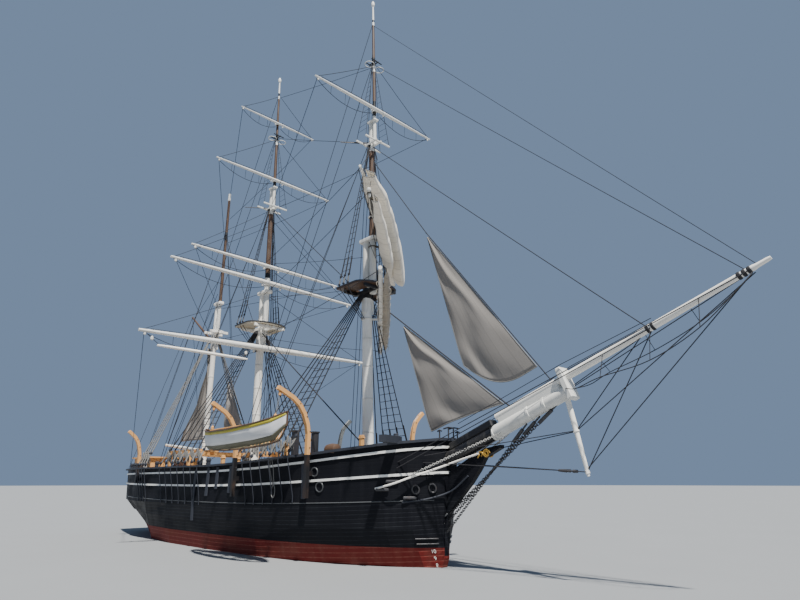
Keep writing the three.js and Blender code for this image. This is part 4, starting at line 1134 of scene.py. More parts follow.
@dataclass(frozen=True)
class ShroudGang:
    """The shrouds of one mast on one side, from deadeyes at a channel or a top to a head."""

    name: str
    feet: tuple[Vector, ...]
    heads: tuple[Vector, ...]
    deadeye: float
    gap: float
    first_ratline: float
    last_ratline: float
    thick: float = 0.062
    spacing: float = 0.4
    ladder: int = 9
    rope: Finish = TARRED_ROPE

    def upper_deadeye(self, i: int) -> Vector:
        """The middle of a shroud's upper deadeye."""
        foot, head = self.feet[i], self.heads[i]
        return foot + (head - foot).normalized() * self.gap

    def build(self) -> None:
        """Builds the shrouds, ratlines, deadeyes and lanyards."""
        count = len(self.feet)
        lines = [[self.upper_deadeye(i), self.heads[i]] for i in range(count)]
        seizings = []
        for i in range(count):
            start = self.upper_deadeye(i)
            along = (self.heads[i] - start).normalized()
            side_step = along.cross(Vector((1, 0, 0))).normalized().cross(along) * self.thick
            seizings.append([start + side_step, start + side_step + along * 1.1])
        shrouds = Bench.lines([*lines, *seizings], self.thick, 1)
        fitted(shrouds, f"{self.name}_shrouds", self.rope, slot="tarred_rope")
        fitted(self.ratlines(), f"{self.name}_ratlines", self.rope, slot="tarred_rope")
        fitted(self.deadeyes(), f"{self.name}_deadeyes", BLACK_PAINT)
        fitted(self.lanyards(), f"{self.name}_lanyards", GREY_ROPE)
        if self.deadeye > 0.18:
            fitted(self.hanks(), f"{self.name}_hanks", GREY_ROPE)

    def at_height(self, i: int, z: float) -> Vector:
        """The point of a shroud at a height."""
        foot, head = self.feet[i], self.heads[i]
        return foot.lerp(head, (z - foot.z) / (head.z - foot.z))

    def ratlines(self) -> Shape:
        """The rungs, each sagging a little from shroud to shroud."""
        runs = []
        z = self.feet[0].z + self.first_ratline
        while z < self.last_ratline:
            points = []
            for i in range(min(self.ladder, len(self.feet))):
                if points:
                    points.append(points[-1].lerp(self.at_height(i, z), 0.5) - Vector((0, 0, 0.012)))
                points.append(self.at_height(i, z))
            runs.append(points)
            z += self.spacing
        return Bench.lines(runs, self.thick * 0.6)

    def deadeyes(self) -> Shape:
        """The round blocks that the lanyards reeve through."""
        size = self.deadeye
        eye = Bench.turned((0, 0, -0.3 * size), (0, 0, 1), [(0, 0.36 * size), (0.08 * size, 0.5 * size),
                           (0.3 * size, 0.47 * size), (0.52 * size, 0.5 * size), (0.6 * size, 0.36 * size)], 12)
        places = []
        for i in range(len(self.feet)):
            along = (self.heads[i] - self.feet[i]).normalized()
            across = along.cross(Vector((1, 0, 0))).normalized()
            turn = Matrix((along.cross(across), along, across)).transposed().to_4x4()
            places += [Matrix.Translation(point) @ turn for point in (self.feet[i], self.upper_deadeye(i))]
        return Bench.soften(Bench.copies(eye, places))

    def lanyards(self) -> Shape:
        """Three turns between each pair of deadeyes."""
        runs = []
        for i in range(len(self.feet)):
            for offset in (-0.3, 0.0, 0.3):
                step = Vector((offset * self.deadeye, 0, 0))
                runs.append([self.feet[i] + step, self.upper_deadeye(i) + step * 0.9])
                runs.append([self.feet[i] + step + Vector((0.02, 0.02, 0)), self.upper_deadeye(i) - step * 0.6])
        return Bench.lines(runs, self.thick * 0.55, 0)

    def hanks(self) -> Shape:
        """Coiled ends of rope hung over the lanyards."""
        side = 1 if self.feet[0].y > 0 else -1
        turn = Matrix.Rotation(side * math.pi / 2, 4, "Z")
        eyes = [self.upper_deadeye(i) for i in range(len(self.feet))]
        spots = [a.lerp(b, part) for a, b in pairwise(eyes) for part in (0.15, 0.45, 0.75)]
        places = [Matrix.Translation(spot + Vector((0, side * 0.05, 0.14 * (i % 3) - 0.2))) @ turn
                  for i, spot in enumerate(spots)]
        return Bench.copies(Tackle.coil(0.035, 0.55), places)


@dataclass(frozen=True)
class StandingRigging:
    """Shrouds, futtocks, backstays and the upper stays."""

    hull: HullSide

    # By mast: the after and the forward end of its channels, and the shrouds on each.
    CHANNELS = {"fore": (5.35, 9.25, 6), "main": (-5.1, 0.3, 7), "mizzen": (-9.4, -7.75, 4)}

    def build(self) -> None:
        """Builds the rigging of every mast."""
        for mast in MASTS:
            for side in Side:
                self.lower_shrouds(mast, side)
                if mast is not MIZZEN:
                    self.topmast_shrouds(mast, side)
                    self.topgallant_shrouds(mast, side)
            self.backstays(mast)
        self.stays()

    def channel_feet(self, mast: MastPlan, side: Side) -> tuple[Vector, ...]:
        """Where the lower deadeyes of a mast stand, forward to aft."""
        aft, forward, count = self.CHANNELS[mast.name]
        spots = [forward + (aft - forward) * i / (count - 1) for i in range(count)]
        return tuple(self.hull.channel(x, side) + Vector((0, 0, 0.2)) for x in spots)

    def lower_shrouds(self, mast: MastPlan, side: Side) -> None:
        """A lower mast's shrouds on one side."""
        feet = self.channel_feet(mast, side)
        hounds = mast.top_z - 0.22
        radius = mast.lower.radius(hounds)
        heads = tuple(mast.at(0, hounds + 0.03 * i, side.value * radius, 0.12 - 0.05 * i) for i in range(len(feet)))
        ShroudGang(f"{mast.name}_{side.word}", feet, heads, 0.2, 0.8, 1.15, mast.top_z - 2.0, ladder=4,
                   rope=GREY_ROPE if mast is MIZZEN else TARRED_ROPE).build()

    def topmast_shrouds(self, mast: MastPlan, side: Side) -> None:
        """The shrouds from the top to the crosstrees, and the futtocks under the top."""
        x0 = mast.at(mast.step / 2, mast.top_z).x
        feet = tuple(Vector((x0 + ahead, side.value * (mast.top_half - 0.04), mast.top_z + 0.24))
                     for ahead in (-0.25, -0.62, -1.0))
        z = mast.cross_z - 0.16
        radius = mast.topmast.radius(z)
        heads = tuple(mast.at(mast.step, z + 0.03 * i, side.value * radius, 0.05 - 0.05 * i) for i in range(3))
        ShroudGang(f"{mast.name}_topmast_{side.word}", feet, heads, 0.15, 0.5, 0.8, z - 0.9, 0.05).build()
        band = mast.top_z - 1.75
        foot = mast.at(0, band, side.value * (mast.lower.radius(band) + 0.02))
        futtocks = [[point - Vector((0, 0, 0.2)), foot + Vector((0.1 - 0.1 * i, 0, 0))]
                    for i, point in enumerate(feet)]
        fitted(Bench.lines(futtocks, 0.045, 1), f"{mast.name}_futtocks_{side.word}", BLACK_IRON)

    def topgallant_shrouds(self, mast: MastPlan, side: Side) -> None:
        """The shrouds and the ladder from the crosstrees to the lookout, and the spreader under them."""
        x0 = mast.at(mast.step + TOPGALLANT_STEP / 2, mast.cross_z).x
        feet = [Vector((x0 + ahead, side.value * 0.97, mast.cross_z)) for ahead in (0.42, -0.42)]
        plan = mast.topgallant
        head_z = mast.hoops_z - 0.2
        heads = [mast.at(plan.step, head_z, side.value * plan.radius(head_z)) for _ in feet]
        lines = [list(pair) for pair in zip(feet, heads)]
        rungs = []
        z = mast.cross_z + 0.5
        while z < head_z - 0.7:
            part = (z - mast.cross_z) / (head_z - mast.cross_z)
            rungs.append([foot.lerp(head, part) for foot, head in zip(feet, heads)])
            z += 0.38
        tarred(f"{mast.name}_topgallant_shrouds_{side.word}", lines, 0.032)
        fitted(Bench.lines(rungs, 0.022), f"{mast.name}_topgallant_ratlines_{side.word}", TARRED_ROPE)
        root = mast.at(mast.step, mast.cross_z - 0.06, side.value * 0.3, -0.1)
        tip = root + Vector((-1.05, side.value * 1.25, 0.02))
        fitted(Bench.spar(root, tip, [(0, 0.08), (1, 0.05)], 8), f"{mast.name}_spreader_{side.word}", BLACK_IRON)

    def backstays(self, mast: MastPlan) -> None:
        """Backstays from each masthead to the rail abaft the shrouds."""
        aft = self.CHANNELS[mast.name][0]
        for side in Side:
            lines = []
            heads = [(mast.topmast, mast.cross_z + 0.15, 0.25), (mast.topmast, mast.cross_z + 0.1, 0.62)]
            if mast is not MIZZEN:
                heads += [(mast.topgallant, mast.hoops_z - 0.1, 1.05), (mast.topgallant, 32.95, 1.45)]
            for plan, z, back in heads:
                foot = self.hull.channel(aft - back, side) + Vector((0, side.value * -0.42, 0.05))
                head = mast.at(plan.step, z, side.value * plan.radius(z))
                lines.append([foot, head])
            tarred(f"{mast.name}_backstays_{side.word}", lines, 0.035)

    def stays(self) -> None:
        """The stays on the middle line that are not among the solids."""
        rows = {
            "outer_jib_stay": (FORE.at(0.52, 23.8), (26.1, 0, HeadGear.jibboom_top(26.1)), 0.045),
            "fore_topgallant_stay": (FORE.at(0.9, 29.7), (29.69, 0, HeadGear.jibboom_top(29.69)), 0.035),
            "fore_royal_stay": (FORE.at(0.85, 32.9), (30.04, 0, HeadGear.jibboom_top(30.04)), 0.03),
            "main_topmast_stay": (MAIN.at(0.7, 23.3), FORE.at(-0.75, 14.45), 0.05),
            "main_topgallant_stay": (MAIN.at(0.9, 29.2), FORE.at(0.4, 24.1), 0.035),
            "main_royal_stay": (MAIN.at(0.85, 32.9), FORE.at(0.75, 29.6), 0.03),
            "mizzen_topmast_stay": (MIZZEN.at(0.5, 22.8), MAIN.at(-0.8, 14.3), 0.04),
        }
        for name, (head, foot, thick) in rows.items():
            tarred(name, [sagging(head, foot, 0.04)], thick, slot="tarred_rope")


# Head gear


@dataclass(frozen=True)
class HeadGear:
    """The bowsprit, the jibboom, what stays them, and the carved head under them."""

    hull: HullSide

    SLOPE = 0.385  # how steeply the bowsprit rises
    CAP_X = 22.5
    JIBBOOM_LIFT = 0.63
    TIP_X = 30.45
    # Upper and lower end of the striker, foot and head of each bobstay, points along each footrope.
    STRIKER = ((22.42, 0, 7.1), (23.1, 0, 3.9))
    GUY_PLATE = (15.5, 4.55)
    MID_HOUNDS_X = 26.18
    OUTER_HOUNDS_X = 29.82
    BOBSTAYS = (((15.84, 0, 1.5), (20.45, 0, 6.06)), ((15.88, 0, 1.93), (21.11, 0, 6.32)),
                ((16.07, 0, 2.33), (22.0, 0, 6.76)))
    FOOTROPES = {
        Side.STARBOARD: ((22.6, 0.33, 7.3), (23.23, 0.6, 7.21), (24.31, 0.7, 7.51), (26.28, 0.7, 7.89),
                         (28.13, 0.7, 8.78), (29.6, 0.4, 10.1), (29.85, 0.1, 10.5)),
        Side.PORT: ((22.5, 0.33, 7.35), (23.2, 0.6, 7.5), (24.05, 0.7, 7.91), (25.94, 0.7, 8.52),
                    (27.7, 0.7, 9.3), (29.2, 0.4, 10.15), (29.8, 0.1, 10.55)),
    }

    @classmethod
    def bowsprit_z(cls, x: float) -> float:
        """The bowsprit's middle line."""
        return 7.2 + cls.SLOPE * (x - cls.CAP_X)

    @classmethod
    def jibboom_top(cls, x: float) -> float:
        """The jibboom's middle line."""
        return cls.bowsprit_z(x) + cls.JIBBOOM_LIFT

    def build(self) -> None:
        """Builds the head."""
        self.spars()
        self.striker()
        self.chains()
        self.guys()
        self.footropes()
        self.head_timbers()

    def spars(self) -> None:
        """The bowsprit with its cap and bands, and the jibboom with its hounds."""
        turn = (0, -math.atan(self.SLOPE), 0)
        run = [(x, 0, self.bowsprit_z(x)) for x in (14.35, 22.75)]
        taper = [(0, 0.7), (0.3, 0.68), (1, 0.54)]
        parts = [Bench.spar(*run, taper, 32),
                 Bench.block((self.CAP_X, 0, 7.54), (0.28, 0.66, 1.4), turn, 0.05),
                 Bench.block((20.6, 0, self.bowsprit_z(20.6) + 0.42), (3.38, 0.3, 0.5), turn, 0.05),
                 Bench.block((17.5, 0, self.bowsprit_z(17.5) + 0.45), (2.7, 0.5, 0.35), turn, 0.06)]
        axis = Vector((1, 0, self.SLOPE)).normalized()
        for x in (18.75, 20.6, 21.4):
            start = Vector((x, 0, self.bowsprit_z(x)))
            radius = 0.29 + (22 - x) * 0.012
            parts.append(Bench.band(start, axis, (radius, radius + 0.02), 0.1, 32))
        paint = BandedPaint("bowsprit_paint", wear=0.35, stops=((10.0, BLACK), (18.78, OFF_WHITE)), axis=0)
        piece = fitted(Bench.soften(Bench.joined(parts)), "bowsprit_spar", paint, slot="white_paint")
        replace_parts(piece, "bowsprit")
        boom = [(x, 0, self.jibboom_top(x)) for x in (18.9, self.TIP_X)]
        taper = [(0, 0.34), (0.5, 0.32), (0.62, 0.29), (0.938, 0.22), (0.952, 0.22), (0.96, 0.18), (0.99, 0.16),
                 (1, 0.13)]
        piece = fitted(Bench.soften(Bench.spar(*boom, taper, 28)), "jibboom_spar", WHITE_PAINT, slot="white_paint")
        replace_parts(piece, "jibboom")
        wraps = []
        for x, radius in ((26.0, 0.15), (26.2, 0.15), (29.35, 0.13), (29.52, 0.125), (29.69, 0.12)):
            start = Vector((x, 0, self.jibboom_top(x)))
            wraps.append(Bench.band(start, axis, (radius - 0.01, radius + 0.02), 0.1, 24, 0.03))
        fitted(Bench.soften(Bench.joined(wraps)), "jibboom_seizings", TARRED_ROPE)

    def striker(self) -> None:
        """The dolphin striker with its bands."""
        taper = [(0, 0.22), (0.45, 0.22), (0.451, 0.27), (0.47, 0.27), (0.471, 0.2), (0.93, 0.15), (0.931, 0.18),
                 (0.97, 0.18), (0.971, 0.13), (1, 0.11)]
        piece = fitted(Bench.soften(Bench.spar(*self.STRIKER, taper)), "striker_spar", WHITE_PAINT)
        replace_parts(piece, "dolphin_striker")

    def on_striker(self, part: float) -> Vector:
        """A point down the striker."""
        return Vector(self.STRIKER[0]).lerp(Vector(self.STRIKER[1]), part)

    @staticmethod
    def chain(start: Vector, end: Vector, link: float = 0.16) -> Shape:
        """A chain: links that stand on edge and lie flat in turn."""
        Bench.clear()
        bpy.ops.mesh.primitive_torus_add(major_segments=10, minor_segments=4, major_radius=link * 0.36,
                                         minor_radius=link * 0.11)
        pattern = bpy.context.object
        Bench.edit(pattern, "SELECT")
        bpy.ops.transform.resize(value=(1.5, 1, 1), center_override=(0, 0, 0))
        bpy.ops.object.mode_set(mode="OBJECT")
        run = end - start
        count = round(run.length / (link * 0.78))
        turn = run.to_track_quat("X", "Z").to_matrix().to_4x4()
        places = [Matrix.Translation(start.lerp(end, (i + 0.5) / count)) @ turn
                  @ Matrix.Rotation(math.pi / 2 * (i % 2), 4, "X") for i in range(count)]
        return Bench.copies(pattern, places)

    def chains(self) -> None:
        """The bobstays, from the stem to the bowsprit."""
        parts = []
        for foot, head in ((Vector(low), Vector(high)) for low, high in self.BOBSTAYS):
            parts.append(self.chain(foot, foot.lerp(head, 0.84)))
            parts.append(Bench.rod(foot.lerp(head, 0.84), foot.lerp(head, 0.95), 0.17))
            parts.append(Bench.rod(foot.lerp(head, 0.95), head, 0.08))
        fitted(Bench.joined(parts), "bobstays", BLACK_IRON)
        ends = ((0.52, 0.42), (0.06, 0.02))
        straps = [[Vector((low[0] - reach, side.value * 0.175, low[2] - drop)) for reach, drop in ends]
                  for low, _ in self.BOBSTAYS[-2:] for side in Side]
        fitted(Bench.lines(straps, 0.07, 0), "bobstay_plates", GREY_IRON)

    def guys(self) -> None:
        """Martingales, back ropes and jibboom guys."""
        foot, collar = self.on_striker(0.95), self.on_striker(0.46)
        mid, outer = [Vector((x, 0, self.jibboom_top(x) - 0.15)) for x in (self.MID_HOUNDS_X, self.OUTER_HOUNDS_X)]
        lines = [[foot, mid], [foot + Vector((0, 0, 0.1)), outer], [collar, mid + Vector((-0.3, 0, 0))],
                 [collar, outer + Vector((0.1, 0, 0))]]
        for side in Side:
            bow = self.hull.at(*self.GUY_PLATE, side, 0.05)
            cheek = self.hull.at(14.6, 4.3, side, 0.05)
            lines.append([foot + Vector((0, side.value * 0.06, 0)), bow])
            lines.append([collar + Vector((0, side.value * 0.1, 0)), bow + Vector((0.1, 0, 0.3))])
            lines.append([mid + Vector((0, side.value * 0.12, 0.1)), cheek])
            lines.append([outer + Vector((0, side.value * 0.1, 0.1)), cheek + Vector((-0.4, 0, 0.1))])
        tarred("martingales_and_guys", lines, 0.04, slot="tarred_rope")
        screws = []
        for side in Side:
            bow = self.hull.at(*self.GUY_PLATE, side, 0.05)
            rings = [(0, 0.03), (0.02, 0.065), (0.12, 0.065), (0.14, 0.03), (0.34, 0.03), (0.36, 0.07), (0.7, 0.05),
                     (0.72, 0.03)]
            screws.append(Bench.turned(foot.lerp(bow, 0.06), bow, rings, 10))
        fitted(Bench.soften(Bench.joined(screws)), "back_rope_screws", BLACK_IRON)

    def footropes(self) -> None:
        """The ropes that men stand on, hung under the jibboom on stirrups, and the manropes over it."""
        for side, spots in self.FOOTROPES.items():
            points = [Vector((x, side.value * y, z)) for x, y, z in spots]
            stirrups = [[point, Vector((point.x - 0.1, side.value * 0.12, self.jibboom_top(point.x - 0.1)))]
                        for point in points[2:5]]
            fitted(Bench.joined([Bench.lines([smooth(points, 6)], 0.038, 1), Bench.lines(stirrups, 0.03)]),
                   f"jibboom_footropes_{side.word}", TARRED_ROPE)
            high = [Vector((x, side.value * lateral, z)) for x, lateral, z in
                    ((17.4, 0.9, 6.2), (self.CAP_X, 0.36, 8.3), (26.3, 0.2, self.jibboom_top(26.3) + 0.25))]
            tarred(f"bowsprit_manrope_{side.word}", [high], 0.03)

    def head_timbers(self) -> None:
        """The white head rails with their chains, the cheeks and the carved billethead."""
        for side in Side:
            s = side.value
            # The rail sweeps from the bow's side up to the billethead.
            run = [self.hull.at(13.7, 3.4, side, 0.05), *(Vector((x, s * y, z)) for x, y, z in (
                (14.6, 2.3, 3.6), (15.3, 1.7, 3.92), (16.15, 0.72, 4.34), (17.0, 0.35, 4.64), (17.98, 0.2, 4.9)))]
            fitted(Bench.soften(Bench.lines([smooth(run, 6)], 0.09, 2)), f"head_rail_{side.word}", WHITE_PAINT,
                   slot="white_paint")
            chain = self.chain(Vector((15.3, s * 1.75, 4.0)), Vector((19.26, s * 0.3, 5.72)), 0.13)
            fitted(chain, f"head_chain_{side.word}", PALE_ROPE)
            cheek = [self.hull.at(14.7, 2.8, side, 0.03), self.hull.at(15.5, 2.95, side, 0.04),
                     Vector((16.35, s * 0.24, 3.3)), Vector((17.3, s * 0.18, 3.95))]
            fitted(Bench.soften(Bench.lines([smooth(cheek, 6)], 0.08, 2)), f"head_cheek_{side.word}", BLACK_PAINT)
        self.billethead()

    def billethead(self) -> None:
        """Carved scrolls on the knee's faces at the head's end, with leaves that run back from them."""
        shapes = []
        for side in Side:
            face = side.value * 0.17
            middle = Vector((18.36, face, 4.9))
            scroll = [middle + Vector((radius * math.cos(angle), 0, radius * math.sin(angle)))
                      for angle, radius in ((0.42 * i, 0.19 * (1 - i / 36)) for i in range(28))]
            leaves = []
            for root in (Vector((18.08, face, 4.78)), Vector((17.88, face, 4.72))):
                leaves.append(smooth([root, root + Vector((0.1, side.value * 0.03, 0.13)),
                                           root + Vector((-0.1, side.value * 0.02, 0.2))], 5))
            shapes += [Bench.lines([scroll], 0.085, 2), Bench.lines(leaves, 0.07, 2)]
        fitted(Bench.soften(Bench.joined(shapes)), "billethead", GILT)


# Yards


@dataclass(frozen=True)
class Yard:
    """A yard on its mast, with its own frame: X ahead of the mast's axis, Y along it."""

    name: str
    mast: MastPlan
    on: str
    z: float
    half: float
    thick: float
    truss: float
    brace: float
    lift_z: float
    brace_to: tuple[float, float, float]

    TAPER = ((0, 0.45), (0.12, 0.6), (0.35, 0.92), (0.5, 1), (0.65, 0.92), (0.88, 0.6), (1, 0.45))

    @property
    def plan(self) -> SparPlan:
        """The spar that it is hung from."""
        return getattr(self.mast, self.on)

    @property
    def reach(self) -> float:
        """How far its middle line is ahead of the mast's."""
        return self.plan.radius(self.z) + self.truss + self.thick / 2

    @property
    def frame(self) -> Matrix:
        """Its frame on the ship."""
        heel = Matrix.Translation(self.mast.at(self.plan.step, self.z))
        return heel @ Matrix.Rotation(-self.mast.rake, 4, "Y") @ Matrix.Rotation(math.radians(self.brace), 4, "Z")

    def point(self, ahead: float, along: float, up: float) -> Vector:
        """A point of its frame, from its own middle line, on the ship."""
        return self.frame @ Vector((self.reach + ahead, along, up))

    def radius(self, along: float) -> float:
        """Its radius at a distance from its middle."""
        return self.thick * between(self.TAPER, 0.5 + abs(along) / self.half / 2)[0] / 2

    def build(self) -> None:
        """Builds the yard and what is made fast to it."""
        self.spar()
        self.jackstay()
        self.footropes()
        self.lifts()
        self.blocks()
        for side in Side:
            self.brace_line(side)

    def spar(self) -> None:
        """The yard itself, with its bands, its truss and its collar."""
        low, high = Vector((self.reach, -self.half, 0)), Vector((self.reach, self.half, 0))
        parts = [Bench.spar(low, high, [(part, size * self.thick) for part, size in self.TAPER], 24)]
        for along in (-0.93, -0.12, 0.12, 0.93):
            radius = self.radius(along * self.half)
            start = Vector((self.reach, along * self.half - 0.05, 0))
            parts.append(Bench.band(start, Vector((0, 1, 0)), (radius, radius + 0.01), 0.09, 24))
        inner = self.plan.radius(self.z) + 0.035
        ring = oval((0, 0, 0), (inner, 0, 0), (0, inner, 0), 24)
        parts.append(Bench.lines([ring], 0.07, 1, closed=True))
        parts.append(Bench.block(((inner + self.reach) / 2, 0, 0), (self.reach - inner, 0.13, 0.1), bevel=0.02))
        body = Bench.joined(parts)
        body.data.transform(self.frame)
        # The fore lower topsail yard gets a dark paint as painted shade on its shaded underside; only its tips keep the
        # white.
        paint = PAINTED_SHADE_YARD if self.name == "fore_lower_topsail_yard" else SPAR_WHITE
        piece = fitted(Bench.soften(body), f"{self.name}_spar", paint, self.name, "white_paint")
        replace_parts(piece, self.name)
        if paint is PAINTED_SHADE_YARD:
            tips = [Bench.block(self.point(0, sign * (self.half - 0.04), 0), (0.19, 0.19, 0.19),
                                (0, 0, math.radians(self.brace)), 0.05) for sign in (-1, 1)]
            fitted(Bench.joined(tips), f"{self.name}_tips", SPAR_WHITE, self.name)

    def jackstay(self) -> None:
        """The iron rod along the top that a sail is bent to, in its eyes."""
        rods, eyes = [], []
        for sign in (-1, 1):
            spots = [sign * self.half * part for part in (0.06, 0.3, 0.6, 0.92)]
            rods.append([self.point(0.06, y, self.radius(y) + 0.05) for y in spots])
            steps = max(4, int(self.half / 1.1))
            for i in range(steps + 1):
                y = sign * self.half * (0.08 + 0.82 * i / steps)
                eyes.append([self.point(0.05, y, self.radius(y) * 0.8), self.point(0.06, y, self.radius(y) + 0.07)])
        iron = Bench.joined([Bench.lines(rods, 0.03, 1), Bench.lines(eyes, 0.035)])
        fitted(iron, f"{self.name}_jackstay", BLACK_IRON, self.name)

    def footropes(self) -> None:
        """The ropes hung under the yard that men stand on, with their stirrups."""
        ropes, stirrups = [], []
        drop = min(0.95, 0.45 + self.half * 0.07)
        for sign in (-1, 1):
            a = self.point(-0.1, sign * self.half * 0.97, -0.04)
            b = self.point(-0.14, sign * self.half * 0.07, -0.3)
            rope = sagging(a, b, drop * 0.75, 16)
            ropes.append(rope)
            for i in range(4, 15, 4):
                y = sign * self.half * (0.97 - 0.9 * i / 16)
                stirrups.append([self.point(-0.08, y, 0), rope[i]])
        shape = Bench.joined([Bench.lines(ropes, 0.035, 1), Bench.lines(stirrups, 0.024)])
        fitted(shape, f"{self.name}_footropes", TARRED_ROPE, self.name)

    def lifts(self) -> None:
        """The lifts, from the yardarms to the mast; they turn with the yard."""
        rise = self.lift_z - self.z
        lines = []
        for sign in (-1, 1):
            arm = self.point(0, sign * self.half * 0.965, self.radius(self.half) + 0.01)
            head = self.frame @ Vector((0.16, sign * (self.plan.radius(self.lift_z) + 0.06), rise))
            lines.append(sagging(arm, head, 0.05, 6))
        tarred(f"{self.name}_lifts", lines, RUNNING_ROPE, self.name)

    def blocks(self) -> None:
        """Tackle blocks under the yardarms, the quarters and the slings."""
        block = Tackle.block(0.19 if self.half > 6 else 0.13)
        places = []
        for along in (-0.955, -0.1, 0.1, 0.955):
            y = along * self.half
            hang = self.point(0.0, y, -self.radius(y) - 0.08)
            places.append(Matrix.Translation(hang) @ Matrix.Rotation(math.radians(self.brace), 4, "Z"))
        shape = Bench.copies(block, places)
        fitted(Bench.soften(shape), f"{self.name}_blocks", SPAR_WHITE, self.name)

    def brace_line(self, side: Side) -> None:
        """A brace, from the yardarm aft."""
        arm = self.point(-0.05, side.value * self.half * 0.96, 0)
        end = Vector((self.brace_to[0], side.value * self.brace_to[1], self.brace_to[2]))
        bending_line(f"{self.name}_brace_{side.word}", self.name, arm, end, 0.12, 0.032)


class Tackle:
    """Patterns for the fittings that repeat."""

    @staticmethod
    def block(size: float) -> Shape:
        """A wooden block: two cheeks and a sheave, its strop and its hook upwards."""
        shell = Bench.block((0, 0, 0), (size * 0.55, size * 0.7, size), bevel=size * 0.2)
        ring = oval((0, 0, 0), (0, size * 0.4, 0), (0, 0, size * 0.55), 10)
        strop = Bench.lines([ring], size * 0.16, 0, closed=True)
        eye = Bench.rod((0, 0, size * 0.4), (0, 0, size * 0.85), size * 0.14, 6)
        return Bench.joined([shell, strop, eye])

    @staticmethod
    def pin() -> Shape:
        """A belaying pin, handle upwards."""
        rings = [(0, 0.014), (0.2, 0.017), (0.21, 0.03), (0.33, 0.028), (0.38, 0.016)]
        return Bench.turned((0, 0, -0.2), (0, 0, 1), rings, 8)

    @staticmethod
    def coil(radius: float = 0.12, drop: float = 0.42) -> Shape:
        """A rope made up in a coil and hung on a pin."""
        turns = []
        for i in range(4):
            loop = []
            for angle in round_angles(14):
                width = radius * (1 - 0.08 * i) * math.sin(angle)
                loop.append((0.02 + 0.022 * i, width, -drop / 2 * (1 - 0.05 * i) * (1 - math.cos(angle))))
            turns.append(loop)
        return Bench.lines(turns, 0.03, 0, closed=True)


YARDS = (
    Yard("fore_course_yard", FORE, "lower", 12.6, 8.2, 0.4, 0.3, 47, 17.3, (-0.6, 0.35, 13.3)),
    Yard("fore_lower_topsail_yard", FORE, "topmast", 16.95, 7, 0.32, 0.2, 42, 22.6, (-0.7, 0.3, 16.4)),
    Yard("fore_upper_topsail_yard", FORE, "topmast", 18.85, 6, 0.28, 0.1, 38, 23.6, (-0.6, 0.3, 18.9)),
    Yard("fore_topgallant_yard", FORE, "topgallant", 26.14, 4.85, 0.22, 0.06, 0, 29.5, (-0.55, 0.25, 23.3)),
    Yard("main_course_yard", MAIN, "lower", 12.5, 8.5, 0.4, 0.3, -4, 16.6, (-14.6, 2.75, 4.75)),
    Yard("main_lower_topsail_yard", MAIN, "topmast", 17.2, 7.55, 0.32, 0.2, 2, 22.2, (-7.86, 0.3, 14.4)),
    Yard("main_upper_topsail_yard", MAIN, "topmast", 18.5, 6.2, 0.26, 0.1, 2, 23.0, (-7.55, 0.2, 16.9)),
    Yard("main_topgallant_yard", MAIN, "topgallant", 25.45, 4.95, 0.22, 0.06, 0, 29.0, (-7.54, 0.15, 22.5)),
    Yard("main_royal_yard", MAIN, "topgallant", 30.45, 3.3, 0.16, 0.05, 0, 32.9, (-7.55, 0.12, 24.6)),
)
YARD = {yard.name: yard for yard in YARDS}


# Sails


@dataclass(frozen=True)
class SailCloth:
    """Makes a sail as one open sheet of cloth with its own UV map in metres."""

    name: str
    node: str
    body: str
    finish: Finish
    slot: str

    THICK = 0.012

    def sheet(self, surface: Surface, columns: int, rows: int, flat: Row,
              held: str, rests_on: Sequence[str], area: float | None = None) -> Shape:
        """Args:
            surface: The point for a place from 0 to 1 along the head and from 0 to 1 down.
            columns: Faces along the head.
            rows: Faces down the sail.
            flat: The cut's width and length, in full-size metres.
            held: How the cloth is held; not used.
            rests_on: What it hangs from; not used.
            area: The cut's area in square metres of the ship, where it is not a rectangle.

        Returns:
            The sail.
        """
        shape = Bench.grid(columns, rows)
        places = [(vertex.co.x + 0.5, 0.5 - vertex.co.y) for vertex in shape.data.vertices]
        uv = shape.data.uv_layers.active or shape.data.uv_layers.new()
        uv.name = "cloth"
        for loop in shape.data.loops:
            across, down = places[loop.vertex_index]
            uv.data[loop.index].uv = (across * flat[0], down * flat[1])
        for vertex, (across, down) in zip(shape.data.vertices, places):
            vertex.co = surface(across, down)
        Bench.thickened(Bench.soften(shape, 70), self.THICK)
        fitted(shape, self.name, self.finish, self.body, self.slot)
        if self.node:
            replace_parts(shape, self.node)
        scaled = [side * MODEL_SCALE for side in flat]
        cut = None if area is None else area * MODEL_SCALE ** 2
        return shape


